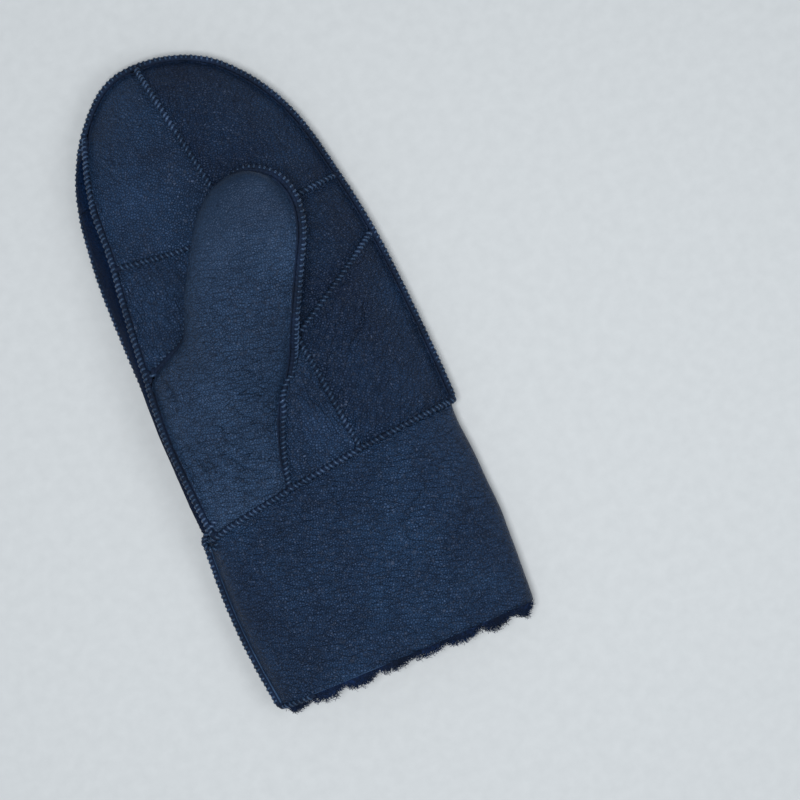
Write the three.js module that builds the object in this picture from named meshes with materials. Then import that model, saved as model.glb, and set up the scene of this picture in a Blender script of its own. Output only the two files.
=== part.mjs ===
// Sheepskin mitten lying palm up, leather outside and wool inside, its thumb folded onto the palm.
// Millimetres. +Y runs from the hem to the fingertips, +X towards the little finger, +Z up from the floor.
import * as THREE from "three";

// Driving sizes
const LENGTH = 287;
const HAND_WIDTH = 125;
const HAND_DEPTH = 28;
const CUFF_LENGTH = 90;
const CUFF_WIDTH = 123;
const CUFF_DEPTH = 26;
const THUMB_LENGTH = 86;
const THUMB_WIDTH = 51;
const THUMB_DEPTH = 21;
const THUMB_LEAN_DEG = 30.5;
const LEATHER = 1.8;
const WOOL = 4.5;
const WOOL_REACH = 6;
const LOCKS = 16;
const SEAM_RADIUS = 1.35;
const SEAM_RAISE = 0.5;

// Clearances between touching pieces
const SEAM_GAP = 0.3;
const WOOL_GAP = 0.9;
const THUMB_GAP = 0.9;
const CORNER_GAP = 1.1;

// Colours and finish
const LEATHER_COLOURS = {
  palm: 0x22324a,
  gusset: 0x1a283b,
  thumb: 0x26374f,
  cuff: 0x233349,
  back: 0x25374f,
};
const THREAD_COLOUR = 0x2c4763;
const WOOL_COLOUR = 0x1b3a78;
const LEATHER_ROUGHNESS = 0.55;
const THREAD_ROUGHNESS = 0.45;
const WOOL_ROUGHNESS = 0.95;

// Soft edges: how far the swell of the palm and the lift of the back reach in from the seams
const PALM_SWELL_REACH = 0.44 * HAND_WIDTH;
const PALM_SWELL_POWER = 3.5;
const BACK_LIFT_REACH = 0.21 * HAND_WIDTH;
const BACK_LIFT_POWER = 3;
const GUSSET_BULGE = 0.11 * HAND_DEPTH;

// How finely lines, cords and seam rings are stepped, and how often a search halves its span
const MARGIN = SEAM_RADIUS + SEAM_GAP;
const POINT_ROOM = 0.6;
const CURVE_STEP = 2;
const CORD_STEP = 6;
const CORD_SIDES = 6;
const WRIST_STEPS = 24;
const HEM_STEPS = 144;
const CUFF_SIDE_STEPS = 39;
const TIP_STEP = 0.002;
const NORMAL_STEP = 0.004;
const ROOT_HALVINGS = 40;
const FIT_HALVINGS = 16;

// Outlines. Columns: across as a share of the hand width, along of the length, height of the hand depth.
// The lower seam runs from the wrist up the thumb side, round the fingertips and down the other side.
const LOWER_SEAM = [
  [-0.468, 0.262, 0.2],
  [-0.475, 0.32, 0.18],
  [-0.475, 0.433, 0.17],
  [-0.474, 0.52, 0.17],
  [-0.475, 0.63, 0.17],
  [-0.467, 0.73, 0.18],
  [-0.432, 0.836, 0.25],
  [-0.39, 0.885, 0.34],
  [-0.3, 0.942, 0.45],
  [-0.208, 0.981, 0.48],
  [-0.144, 0.995, 0.49],
  [-0.06, 1.0, 0.49],
  [0.068, 0.992, 0.49],
  [0.192, 0.967, 0.48],
  [0.286, 0.927, 0.46],
  [0.362, 0.876, 0.45],
  [0.412, 0.82, 0.44],
  [0.45, 0.745, 0.43],
  [0.493, 0.63, 0.43],
  [0.518, 0.464, 0.43],
  [0.526, 0.336, 0.43],
  [0.526, 0.29, 0.43],
];
// The gusset seam runs above it, between the side strip and the palm, and joins it near the fingertips.
const GUSSET_SEAM = [
  [-0.434, 0.262, 0.86],
  [-0.449, 0.36, 0.88],
  [-0.456, 0.45, 0.89],
  [-0.437, 0.547, 0.89],
  [-0.411, 0.658, 0.89],
  [-0.386, 0.745, 0.88],
  [-0.377, 0.825, 0.8],
  [-0.35, 0.885, 0.66],
  [-0.3, 0.942, 0.45],
];
const CENTRE_SEAM = [
  [-0.04, 1.0],
  [0.06, 0.707],
  [0.112, 0.506],
  [0.144, 0.367],
  [0.17, 0.29],
];
const CROSS_SEAM = [
  [-0.39, 0.722],
  [-0.17, 0.708],
  [0.06, 0.707],
  [0.26, 0.716],
  [0.467, 0.727],
];
const SIDE_SEAM = [
  [0.493, 0.627],
  [0.37, 0.588],
  [0.11, 0.518],
];
const THENAR_SEAM = [
  [-0.138, 0.28],
  [-0.109, 0.347],
  [-0.075, 0.393],
  [-0.032, 0.433],
  [0.016, 0.461],
];
const THUMB_ROOT = [-0.144, 0.5115];
const THUMB_CROTCH_LEFT = [-0.319, 0.568];
const THUMB_SEAM_START = 0.546;

// Wrist line: rises and bows across the hand, in shares of the hand width
const WRIST_RISE = 0.127;
const WRIST_BOW = -0.068;

const mix = THREE.MathUtils.lerp;
const clamp = THREE.MathUtils.clamp;
const smoothstep = THREE.MathUtils.smoothstep;
const UP = new THREE.Vector3(0, 0, 1);
const radians = THREE.MathUtils.degToRad;
const place = ([across, along, height = 0]) =>
  new THREE.Vector3(across * HAND_WIDTH, along * LENGTH, height * HAND_DEPTH);

function wristAlong(x) {
  const share = x / HAND_WIDTH;
  return CUFF_LENGTH + HAND_WIDTH * share * (WRIST_RISE + WRIST_BOW * share);
}

// Evenly spaced points on a smooth curve through the given ones
function smooth(points, closed = false) {
  const curve = new THREE.CatmullRomCurve3(points, closed, "centripetal");
  const count = Math.ceil(curve.getLength() / CURVE_STEP);
  return curve.getSpacedPoints(count);
}

// Point at a share of the length of a row of points
function follow(points) {
  const lengths = [0];
  for (let i = 1; i < points.length; i += 1) {
    lengths.push(lengths[i - 1] + points[i].distanceTo(points[i - 1]));
  }
  const total = lengths[lengths.length - 1];
  const at = (share) => {
    const target = clamp(share, 0, 1) * total;
    let i = 1;
    while (i < lengths.length - 1 && lengths[i] < target) i += 1;
    const span = lengths[i] - lengths[i - 1] || 1;
    return points[i - 1].clone().lerp(points[i], (target - lengths[i - 1]) / span);
  };
  at.total = total;
  return at;
}

// Points of a followed line between two shares
function stretch(line, from, to, step = CURVE_STEP) {
  const count = Math.max(2, Math.ceil((Math.abs(to - from) * line.total) / step));
  return Array.from({ length: count + 1 }, (_, i) => line(mix(from, to, i / count)));
}

// Where a value that rises through zero between two shares does so
function root(value, low, high) {
  let [a, b] = [low, high];
  const rising = value(b) > value(a);
  for (let i = 0; i < ROOT_HALVINGS; i += 1) {
    const middle = (a + b) / 2;
    if (value(middle) > 0 === rising) b = middle;
    else a = middle;
  }
  return (a + b) / 2;
}

// Nearest place of a row of points, seen from above or in space
function nearest(points, p, flat) {
  let best = { distance: Infinity, height: 0 };
  for (let i = 1; i < points.length; i += 1) {
    const a = points[i - 1];
    const b = points[i];
    const [dx, dy, dz] = [b.x - a.x, b.y - a.y, flat ? 0 : b.z - a.z];
    const [px, py, pz] = [p.x - a.x, p.y - a.y, flat ? 0 : p.z - a.z];
    const t = clamp((px * dx + py * dy + pz * dz) / (dx * dx + dy * dy + dz * dz || 1), 0, 1);
    const distance = Math.hypot(px - t * dx, py - t * dy, pz - t * dz);
    if (distance < best.distance) best = { distance, height: mix(a.z, b.z, t) };
  }
  return best;
}

const clearance = (lines, p) => Math.min(...lines.map((line) => nearest(line, p, false).distance));

// The hand's edge lines
const lowerEdge = smooth(LOWER_SEAM.map(place));
const gussetEdge = smooth(GUSSET_SEAM.map(place));
const palmEdge = smooth([...GUSSET_SEAM, ...LOWER_SEAM.slice(9)].map(place));
const lowerLine = follow(lowerEdge);
const gussetLine = follow(gussetEdge);
const palmLine = follow(palmEdge);

function palmHeight(x, y) {
  const edge = nearest(palmEdge, { x, y }, true);
  const inward = clamp(1 - edge.distance / PALM_SWELL_REACH, 0, 1);
  return mix(HAND_DEPTH, edge.height, inward ** PALM_SWELL_POWER);
}

function backHeight(x, y) {
  const edge = nearest(lowerEdge, { x, y }, true);
  return edge.height * clamp(1 - edge.distance / BACK_LIFT_REACH, 0, 1) ** BACK_LIFT_POWER;
}

const onPalm = (p) => new THREE.Vector3(p.x, p.y, palmHeight(p.x, p.y));
const onBack = (p) => new THREE.Vector3(p.x, p.y, backHeight(p.x, p.y));

// Shares of the edge lines where other lines meet them
const fingertip = (line) => {
  let best = 0;
  for (let share = 0; share <= 1; share += TIP_STEP) if (line(share).y > line(best).y) best = share;
  return best;
};
const palmTip = fingertip(palmLine);
const lowerTip = fingertip(lowerLine);
const thumbSideAt = (line, tip, along) => root((s) => line(s).y - along * LENGTH, 0, tip);
const littleSideAt = (line, tip, along) => root((s) => line(s).y - along * LENGTH, tip, 1);
const wristCrossing = (line, low, high) => root((s) => line(s).y - wristAlong(line(s).x), low, high);

const NEAR_START = [0, 0.3];
const NEAR_END = [0.7, 1];
const palmWristThumb = wristCrossing(palmLine, ...NEAR_START);
const palmWristLittle = wristCrossing(palmLine, ...NEAR_END);
const lowerWristThumb = wristCrossing(lowerLine, ...NEAR_START);
const lowerWristLittle = wristCrossing(lowerLine, ...NEAR_END);
const gussetWrist = wristCrossing(gussetLine, ...NEAR_START);
const crossThumb = thumbSideAt(palmLine, palmTip, CROSS_SEAM[0][1]);
const crossLittle = littleSideAt(palmLine, palmTip, CROSS_SEAM[4][1]);
const sideLittle = littleSideAt(palmLine, palmTip, SIDE_SEAM[0][1]);
const thumbOnEdge = thumbSideAt(palmLine, palmTip, THUMB_SEAM_START);

// Seam lines on the palm
const centreLine = follow(smooth([palmLine(palmTip), ...CENTRE_SEAM.slice(1).map(place)]).map(onPalm));
const crossLine = follow(
  smooth([palmLine(crossThumb), ...CROSS_SEAM.slice(1, 4).map(place), palmLine(crossLittle)]).map(onPalm),
);
const centreWrist = wristCrossing(centreLine, 0.5, 1);
const centreCross = root((s) => place(CROSS_SEAM[2]).y - centreLine(s).y, 0, 1);
const crossCentre = root((s) => crossLine(s).x - centreLine(centreCross).x, 0, 1);
const centreSide = root((s) => SIDE_SEAM[2][1] * LENGTH - centreLine(s).y, 0, 1);
const sideLine = follow(
  smooth([palmLine(sideLittle), place(SIDE_SEAM[1]), centreLine(centreSide)]).map(onPalm),
);
const thenarLine = follow(smooth(THENAR_SEAM.map(place)).map(onPalm));
const thenarWrist = wristCrossing(thenarLine, 0, 0.6);
const wristLine = (from, to, lift) =>
  Array.from({ length: WRIST_STEPS + 1 }, (_, i) => {
    const x = mix(from.x, to.x, i / WRIST_STEPS);
    return lift({ x, y: wristAlong(x) });
  });

// The thumb: its axis leans over the palm, its width and depth shrink round the tip
const THUMB_LEAN = radians(THUMB_LEAN_DEG);
const THUMB_WAY = new THREE.Vector3(Math.sin(THUMB_LEAN), Math.cos(THUMB_LEAN), 0);
const THUMB_ACROSS = new THREE.Vector3(THUMB_WAY.y, -THUMB_WAY.x, 0);
const THUMB_BOTTOM = HAND_DEPTH + SEAM_RADIUS + SEAM_RAISE + 2 * SEAM_GAP;
const THUMB_MIDDLE = THUMB_BOTTOM + THUMB_DEPTH / 2;
const THUMB_ROUNDING = 0.58;
const THUMB_TIP_POWER = 2.6;
const THUMB_TAPER = [1.04, 0.94];
const THUMB_SEAM_RISE = 0.3;
const THUMB_FLOOR_RISE = 0.2;
const THUMB_FLAT_POWER = 0.5;
// The thumb's seams: how far round from the top each one lies, and its height above the thumb's middle
// as a share of the half depth. The right one is drawn up, so the thumb's top is flat towards it.
const LEFT_SEAM = { span: radians(122), height: -0.53 };
const RIGHT_SEAM = { span: radians(74), height: 0.52 };
const CROTCH_LIFT = SEAM_RADIUS + 2 * SEAM_GAP - SEAM_RAISE;
const CORNER_LIFT_FROM = 0.4;
const THENAR_LIFT_FROM = 0.75;
function lifted(points, from) {
  const share = (i) => smoothstep(i / (points.length - 1), from, 1);
  return points.map((p, i) => p.clone().addScaledVector(UP, CROTCH_LIFT * share(i)));
}

const cornerLine = smooth([palmLine(thumbOnEdge), place(THUMB_CROTCH_LEFT)]).map(onPalm);
const cornerWay = lifted(cornerLine, CORNER_LIFT_FROM);
const leftThenar = stretch(palmLine, palmWristThumb, thumbOnEdge);
const rightThenar = lifted(stretch(thenarLine, thenarWrist, 1), THENAR_LIFT_FROM);
const CROTCH_LEFT = cornerWay.at(-1);
const CROTCH_RIGHT = rightThenar.at(-1);

function thumbCap(t) {
  const past = Math.max(0, (t - THUMB_ROUNDING) / (1 - THUMB_ROUNDING));
  return Math.sqrt(Math.max(0, 1 - past ** THUMB_TIP_POWER));
}
function thumbHalf(t) {
  return (THUMB_WIDTH / 2) * mix(...THUMB_TAPER, clamp(t / THUMB_ROUNDING, 0, 1)) * thumbCap(t);
}
function thumbPoint(t, across, z) {
  return place(THUMB_ROOT)
    .addScaledVector(THUMB_WAY, t * THUMB_LENGTH)
    .addScaledVector(THUMB_ACROSS, across)
    .setZ(z);
}
function thumbSeamPoint(t, { span, height }, side) {
  const full = THUMB_MIDDLE + (THUMB_DEPTH / 2) * height * thumbCap(t);
  const z = mix(HAND_DEPTH + MARGIN, full, smoothstep(t, 0, THUMB_SEAM_RISE));
  return thumbPoint(t, side * Math.sin(span) * thumbHalf(t), z);
}
const FREE_SHARES = [0.1, 0.2, 0.32, 0.45, 0.58, 0.7, 0.8, 0.88, 0.94, 0.98, 1];
const leftFree = FREE_SHARES.map((t) => thumbSeamPoint(t, LEFT_SEAM, -1));
const rightFree = FREE_SHARES.map((t) => thumbSeamPoint(t, RIGHT_SEAM, 1));
const leftSide = smooth([CROTCH_LEFT, ...leftFree]);
const rightSide = smooth([CROTCH_RIGHT, ...rightFree]);

// A front row runs over the top from the left line to the right one, each line in three stretches
const ROW_LEVELS = [0, 0.32, 0.42, 1];
const THENAR_TURN = 0.84;
const leftParts = [leftThenar, cornerWay, leftSide].map(follow);
const rightParts = [
  stretch(follow(rightThenar), 0, THENAR_TURN),
  stretch(follow(rightThenar), THENAR_TURN, 1),
  rightSide,
].map(follow);
function onParts(parts, v) {
  const k = v < ROW_LEVELS[1] ? 0 : v < ROW_LEVELS[2] ? 1 : 2;
  return parts[k]((v - ROW_LEVELS[k]) / (ROW_LEVELS[k + 1] - ROW_LEVELS[k]));
}
// Columns: level, left and right span of the arc in degrees, its height as a share of the thumb depth
const FRONT_ARCS = [
  [0, 50, 50, 0.14],
  [0.12, 58, 58, 0.42],
  [0.24, 66, 66, 0.72],
  [0.34, 76, 74, 0.9],
  [0.42, 90, 78, 0.94],
  [0.5, 106, 72, 0.74],
  [0.6, 118, 64, 0.52],
  [0.7, 122, 58, 0.43],
  [1, 122, 58, 0.43],
];
function column(table, v, k) {
  let i = 1;
  while (i < table.length - 1 && table[i][0] < v) i += 1;
  return mix(table[i - 1][k], table[i][k], smoothstep(v, table[i - 1][0], table[i][0]));
}
const freeShare = (v) => clamp((v - ROW_LEVELS[2]) / (1 - ROW_LEVELS[2]), 0, 1);
function thumbFront(u, v) {
  const left = onParts(leftParts, v);
  const right = onParts(rightParts, v);
  const leftSpan = radians(column(FRONT_ARCS, v, 1));
  const rightSpan = radians(column(FRONT_ARCS, v, 2));
  const height = column(FRONT_ARCS, v, 3) * THUMB_DEPTH * thumbCap(freeShare(v));
  const turn = mix(-leftSpan, rightSpan, u);
  const share = (Math.sin(turn) + Math.sin(leftSpan)) / (Math.sin(leftSpan) + Math.sin(rightSpan));
  const rise = Math.cos(turn) - mix(Math.cos(leftSpan), Math.cos(rightSpan), share);
  return left.lerp(right, share).addScaledVector(UP, rise * height);
}
function thumbBack(u, v) {
  const level = mix(ROW_LEVELS[2], 1, v);
  const right = onParts(rightParts, level);
  const left = onParts(leftParts, level);
  const share = (1 - Math.cos(Math.PI * u)) / 2;
  const floor = mix(HAND_DEPTH + THUMB_GAP, THUMB_BOTTOM, smoothstep(v, 0, THUMB_FLOOR_RISE));
  const point = right.lerp(left, share);
  const rounding = 1 - thumbCap(v);
  const flat = Math.sin(Math.PI * clamp(u, 0, 1)) ** THUMB_FLAT_POWER * (1 - rounding ** 2);
  return point.setZ(mix(Math.max(point.z, HAND_DEPTH + THUMB_GAP), floor, flat));
}

// A four-sided patch between its edges, seen from above, laid on a height
function patch(left, right, bottom, top, lift) {
  return (u, v) => {
    const p = new THREE.Vector3();
    p.addScaledVector(bottom(u), 1 - v).addScaledVector(top(u), v);
    p.addScaledVector(left(v), 1 - u).addScaledVector(right(v), u);
    p.addScaledVector(bottom(0), -(1 - u) * (1 - v)).addScaledVector(bottom(1), -u * (1 - v));
    p.addScaledVector(top(0), -(1 - u) * v).addScaledVector(top(1), -u * v);
    return lift(p);
  };
}
const between = (line, from, to) => (t) => line(mix(from, to, t));

// The gusset's outer face, from the lower seam at u = 0 to the gusset seam at u = 1
function gusset(u, along) {
  const low = lowerLine(thumbSideAt(lowerLine, lowerTip, along));
  const high = gussetLine(root((s) => gussetLine(s).y - along * LENGTH, 0, 1));
  const point = low.lerp(high, u);
  point.x -= GUSSET_BULGE * Math.sin(Math.PI * u);
  return point;
}

// Grid of a surface kept clear of the seams at its sides and ends
function fitted(surface, rows, columns, { sides, start, end, pointed, extra = 0 }) {
  const room = (lines, u, v) => {
    const outer = surface(u, v);
    const inner = outer.clone().addScaledVector(outward(surface, u, v), -LEATHER);
    return Math.min(clearance(lines, outer), clearance(lines, inner)) - extra;
  };
  const clearShare = (test) => {
    if (test(0.5) < MARGIN) return 0.5;
    let [low, high] = [0, 0.5];
    for (let i = 0; i < FIT_HALVINGS; i += 1) {
      const middle = (low + high) / 2;
      if (test(middle) < MARGIN) low = middle;
      else high = middle;
    }
    return high;
  };
  const grid = [];
  const spanAt = (u) => {
    const first = start.length ? clearShare((t) => room(start, u, t)) : 0;
    if (pointed) return [first, 1 - clearShare((t) => room(sides, 0.5, 1 - t) - POINT_ROOM)];
    const last = end.length ? 1 - clearShare((t) => room(end, u, 1 - t)) : 1;
    return [first, last];
  };
  const spans = Array.from({ length: columns + 1 }, (_, c) => spanAt(c / columns));
  for (let r = 0; r <= rows; r += 1) {
    const row = [];
    for (let c = 0; c <= columns; c += 1) {
      const v = mix(...spans[c], r / rows);
      const first = clearShare((t) => room(sides, t, v));
      const last = 1 - clearShare((t) => room(sides, 1 - t, v));
      const share = (2 * c) / columns;
      row.push([share < 1 ? mix(first, 0.5, share) : mix(0.5, last, share - 1), v]);
    }
    grid.push(row);
  }
  return grid;
}

function outward(surface, u, v) {
  const du = surface(u + NORMAL_STEP, v).sub(surface(u - NORMAL_STEP, v));
  const dv = surface(u, v + NORMAL_STEP).sub(surface(u, v - NORMAL_STEP));
  return du.cross(dv).normalize();
}

// Closed body between two grids of points, joined round the edge, or across the side edges where they meet
function shellGeometry(outer, inner, ring = false) {
  const rows = outer.length - 1;
  const columns = outer[0].length - (ring ? 0 : 1);
  const width = outer[0].length;
  const offset = outer.length * width;
  const positions = [...outer.flat(), ...inner.flat()].flatMap((p) => [p.x, p.y, p.z]);
  const index = [];
  const quad = (a, b, c, d) => index.push(a, b, c, a, c, d);
  const id = (r, c) => r * width + (c % width);
  for (let r = 0; r < rows; r += 1) {
    for (let c = 0; c < columns; c += 1) {
      const [a, b, e, d] = [id(r, c), id(r, c + 1), id(r + 1, c + 1), id(r + 1, c)];
      quad(a, b, e, d);
      quad(a + offset, d + offset, e + offset, b + offset);
    }
  }
  for (let c = 0; c < columns; c += 1) {
    const [a, b] = [id(0, c), id(0, c + 1)];
    const [e, d] = [id(rows, c + 1), id(rows, c)];
    quad(b, a, a + offset, b + offset);
    quad(d, e, e + offset, d + offset);
  }
  for (let r = 0; r < rows && !ring; r += 1) {
    const [a, d] = [id(r, 0), id(r + 1, 0)];
    const [b, e] = [id(r, columns), id(r + 1, columns)];
    quad(a, d, d + offset, a + offset);
    quad(e, b, b + offset, e + offset);
  }
  const geometry = new THREE.BufferGeometry();
  geometry.setAttribute("position", new THREE.Float32BufferAttribute(positions, 3));
  geometry.setIndex(index);
  geometry.computeVertexNormals();
  return geometry;
}

function leatherGeometry(surface, rows, columns, edges) {
  const shares = fitted(surface, rows, columns, edges);
  const outer = shares.map((row) => row.map(([u, v]) => surface(u, v)));
  const inner = shares.map((row, r) =>
    row.map(([u, v], c) => outer[r][c].clone().addScaledVector(outward(surface, u, v), -LEATHER)),
  );
  return shellGeometry(outer, inner);
}

// A round ridge along a row of points
function cordGeometry(points, closed = false) {
  const line = follow(closed ? [...points, points[0]] : points);
  const count = Math.max(2, Math.round(line.total / CORD_STEP));
  const stops = Array.from({ length: closed ? count : count + 1 }, (_, i) => line(i / count));
  const rings = [];
  let side = null;
  stops.forEach((p, i) => {
    const before = closed ? stops.at(i - 1) : stops[Math.max(0, i - 1)];
    const after = closed ? stops[(i + 1) % stops.length] : stops[Math.min(stops.length - 1, i + 1)];
    const way = after.clone().sub(before).normalize();
    if (!side) side = Math.abs(way.z) > 0.9 ? new THREE.Vector3(1, 0, 0) : UP.clone();
    side = side.clone().addScaledVector(way, -side.dot(way)).normalize();
    const other = way.clone().cross(side);
    const ring = [];
    for (let k = 0; k < CORD_SIDES; k += 1) {
      const turn = (2 * Math.PI * k) / CORD_SIDES;
      const q = p.clone().addScaledVector(side, SEAM_RADIUS * Math.cos(turn));
      ring.push(q.addScaledVector(other, SEAM_RADIUS * Math.sin(turn)));
    }
    rings.push(ring);
  });
  const positions = rings.flat().flatMap((p) => [p.x, p.y, p.z]);
  const index = [];
  const last = closed ? rings.length : rings.length - 1;
  for (let r = 0; r < last; r += 1) {
    const next = (r + 1) % rings.length;
    for (let k = 0; k < CORD_SIDES; k += 1) {
      const [a, b] = [r * CORD_SIDES + k, r * CORD_SIDES + ((k + 1) % CORD_SIDES)];
      const [d, c] = [next * CORD_SIDES + k, next * CORD_SIDES + ((k + 1) % CORD_SIDES)];
      index.push(a, b, c, a, c, d);
    }
  }
  const top = (rings.length - 1) * CORD_SIDES;
  for (let k = 1; k < CORD_SIDES - 1 && !closed; k += 1) {
    index.push(0, k + 1, k, top, top + k, top + k + 1);
  }
  const geometry = new THREE.BufferGeometry();
  geometry.setAttribute("position", new THREE.Float32BufferAttribute(positions, 3));
  geometry.setIndex(index);
  geometry.computeVertexNormals();
  return geometry;
}

// Seam ridges stand a little proud of the leather
const raisedBy = (points, way) => points.map((p, i) => p.clone().addScaledVector(way(p, i), SEAM_RAISE));
const sideways = (points) => (p, i) => {
  const a = points[Math.max(0, i - 1)];
  const b = points[Math.min(points.length - 1, i + 1)];
  return new THREE.Vector3(a.y - b.y, b.x - a.x, 0).normalize();
};
const upAndOut = (points) => (p, i) => sideways(points)(p, i).add(UP).normalize();
const upwards = () => UP;
const thumbOut = (p) => {
  const reach = p.clone().sub(place(THUMB_ROOT)).dot(THUMB_WAY) / THUMB_LENGTH;
  const out = p.clone().sub(thumbPoint(clamp(reach, 0, THUMB_ROUNDING), 0, THUMB_MIDDLE));
  return out.setZ(Math.max(out.z, 0)).normalize();
};

const lowerRun = stretch(lowerLine, lowerWristThumb, lowerWristLittle);
const lowerSeam = raisedBy(lowerRun, sideways(lowerRun));
const gussetRun = stretch(gussetLine, gussetWrist, 1);
const gussetSeam = raisedBy(gussetRun, upAndOut(gussetRun));
const centreSeam = raisedBy(stretch(centreLine, 0, centreWrist), upwards);
const crossSeam = raisedBy(stretch(crossLine, 0, 1), upwards);
const sideSeam = raisedBy(stretch(sideLine, 0, 1), upwards);
const thenarSeam = raisedBy(rightThenar, upwards);
const cornerSeam = raisedBy(cornerWay, upwards);
const leftThumbSeam = raisedBy(leftSide, thumbOut);
const rightThumbSeam = raisedBy(rightSide, thumbOut);

// Wrist ring: round the gusset, over the palm and the ball of the thumb, back under the hand.
// Its points are shares of the strip's height, and of the way across the palm and the back.
const STRIP_STOPS = [0, 0.25, 0.5, 0.75, 1];
const PALM_STOPS = [0.03, 0.1, 0.2, 0.34, 0.5, 0.66, 0.8, 0.9, 0.96];
const BACK_STOPS = [0.95, 0.88, 0.78, 0.6, 0.4, 0.2, 0.1, 0.03];
const wristAlongShare = (x) => wristAlong(x) / LENGTH;
const lowerAtWrist = lowerLine(lowerWristThumb);
const gussetAtWrist = gussetLine(gussetWrist);
const littleAtWrist = lowerLine(lowerWristLittle);
const gussetStrip = STRIP_STOPS.map((u) => gusset(u, wristAlongShare(lowerAtWrist.x)));
const ringWay = smooth(
  [
    ...gussetStrip.slice(2),
    ...PALM_STOPS.map((t) => {
      const x = mix(gussetAtWrist.x, littleAtWrist.x, t);
      return onPalm({ x, y: wristAlong(x) });
    }),
    littleAtWrist,
    ...BACK_STOPS.map((t) => {
      const x = mix(lowerAtWrist.x, littleAtWrist.x, t);
      return onBack({ x, y: wristAlong(x) });
    }),
    gussetStrip[0],
    gussetStrip[1],
  ],
  true,
).map((p) => p.setZ(Math.max(p.z, 0)));
const ringLine = follow(ringWay);
const ringCentre = mix(lowerAtWrist.x, littleAtWrist.x, 0.5);
const ringMiddle = new THREE.Vector3(ringCentre, CUFF_LENGTH, HAND_DEPTH / 2);
const ringOut = (p) => {
  const out = p.clone().sub(ringMiddle);
  return new THREE.Vector3(out.x / HAND_WIDTH, 0, out.z / HAND_DEPTH).normalize();
};
const ringPoints = ringWay.slice(0, -1);
const onFloor = (p) => p.setZ(Math.max(p.z, SEAM_RADIUS));
const wristSeam = raisedBy(ringPoints, ringOut).map(onFloor);
const wristLoop = [...wristSeam, wristSeam[0]];

// Cuff: the hem is a flattened oval, and the band runs from it to the wrist ring
const HEM_MIDDLE = 0.028 * HAND_WIDTH;
const HEM_ACROSS_POWER = 0.82;
const HEM_HEIGHT_POWER = 0.72;
const CUFF_BOW = 0.02 * CUFF_WIDTH;
const squared = (value, power) => Math.sign(value) * Math.abs(value) ** power;
const hemOval = Array.from({ length: HEM_STEPS }, (_, i) => {
  const turn = Math.PI - (2 * Math.PI * i) / HEM_STEPS;
  const x = HEM_MIDDLE + (CUFF_WIDTH / 2) * squared(Math.cos(turn), HEM_ACROSS_POWER);
  const z = (CUFF_DEPTH / 2) * (1 + squared(Math.sin(turn), HEM_HEIGHT_POWER));
  return new THREE.Vector3(x, 0, z);
});
const hemLine = follow([...hemOval, hemOval[0]]);
function cuffSurface(u, v) {
  const share = ((u % 1) + 1) % 1;
  const hem = hemLine(share);
  const wrist = ringLine(share);
  const point = hem.clone().lerp(wrist, clamp(v, 0, 1));
  const bow = CUFF_BOW * Math.sin(Math.PI * clamp(v, 0, 1));
  point.x += bow * ((point.x - HEM_MIDDLE) / (CUFF_WIDTH / 2));
  return point.setY(v * wristAlong(point.x));
}
const cuffSideStops = Array.from({ length: CUFF_SIDE_STEPS + 1 }, (_, i) => i / CUFF_SIDE_STEPS);
const cuffSideRun = cuffSideStops.map((v) => cuffSurface(0, v));
const cuffSideSeam = raisedBy(cuffSideRun, () => new THREE.Vector3(-1, 0, 0));

// Wool: a sleeve of fleece inside the cuff that ends in locks past the hem.
// Rows run from the hem up the cuff; a lock row has its reach and its place in the wool's thickness.
const WOOL_ROWS = [0, 0.12, 0.4, 0.7, 0.98];
const LOCK_ROWS = [
  [1, 0.35],
  [0.5, 0.06],
];
const LOCK_COLUMNS = 4;
const LOCK_REACHES = [0.1, 0.55, 1, 0.55];
function woolGeometry() {
  const columns = LOCKS * LOCK_COLUMNS;
  const outer = [];
  const inner = [];
  const depths = [LEATHER + WOOL_GAP, LEATHER + WOOL_GAP + WOOL];
  const inwards = (u, v) => outward(cuffSurface, u, clamp(v, 0.01, 0.99)).negate();
  const at = (u, v, depth) => cuffSurface(u, v).addScaledVector(inwards(u, v), depth);
  const row = (v, depth) => Array.from({ length: columns }, (_, c) => at(c / columns, v, depth));
  const lockRow = (reach, depth) =>
    Array.from({ length: columns }, (_, c) => {
      const point = at(c / columns, 0, depth);
      return point.setY(-reach * LOCK_REACHES[c % LOCK_COLUMNS] * WOOL_REACH);
    });
  LOCK_ROWS.forEach(([reach, share]) => {
    outer.push(lockRow(reach, mix(...depths, share)));
    inner.push(lockRow(reach, mix(...depths, 1 - share)));
  });
  WOOL_ROWS.forEach((v) => {
    outer.push(row(v, depths[0]));
    inner.push(row(v, depths[1]));
  });
  return shellGeometry(outer, inner, true);
}

const mitten = new THREE.Group();
mitten.name = "leather_mitten";
function add(name, geometry, color, roughness) {
  const material = new THREE.MeshStandardMaterial({ color, roughness, metalness: 0 });
  const mesh = new THREE.Mesh(geometry, material);
  mesh.name = name;
  mitten.add(mesh);
}
const leather = (name, geometry, shade) => add(name, geometry, LEATHER_COLOURS[shade], LEATHER_ROUGHNESS);
const thread = (name, geometry) => add(name, geometry, THREAD_COLOUR, THREAD_ROUGHNESS);

// Back of the hand. Near its start a piece that ends in a point is drawn to the seam that it starts from.
const BACK_BLEND = 0.2;
const TIP_BLEND = 0.25;
const backSurface = (u, v) => {
  const little = lowerLine(mix(lowerWristLittle, lowerTip, v));
  const thumb = lowerLine(mix(lowerWristThumb, lowerTip, v));
  const p = little.lerp(thumb, u);
  if (v < BACK_BLEND) p.y += (wristAlong(p.x) - p.y) * (1 - v / BACK_BLEND) ** 2;
  return onBack(p);
};
leather(
  "back_panel",
  leatherGeometry(backSurface, 22, 10, {
    sides: [lowerSeam],
    start: [wristLoop],
    end: [],
    pointed: true,
    extra: CORNER_GAP,
  }),
  "back",
);

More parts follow.
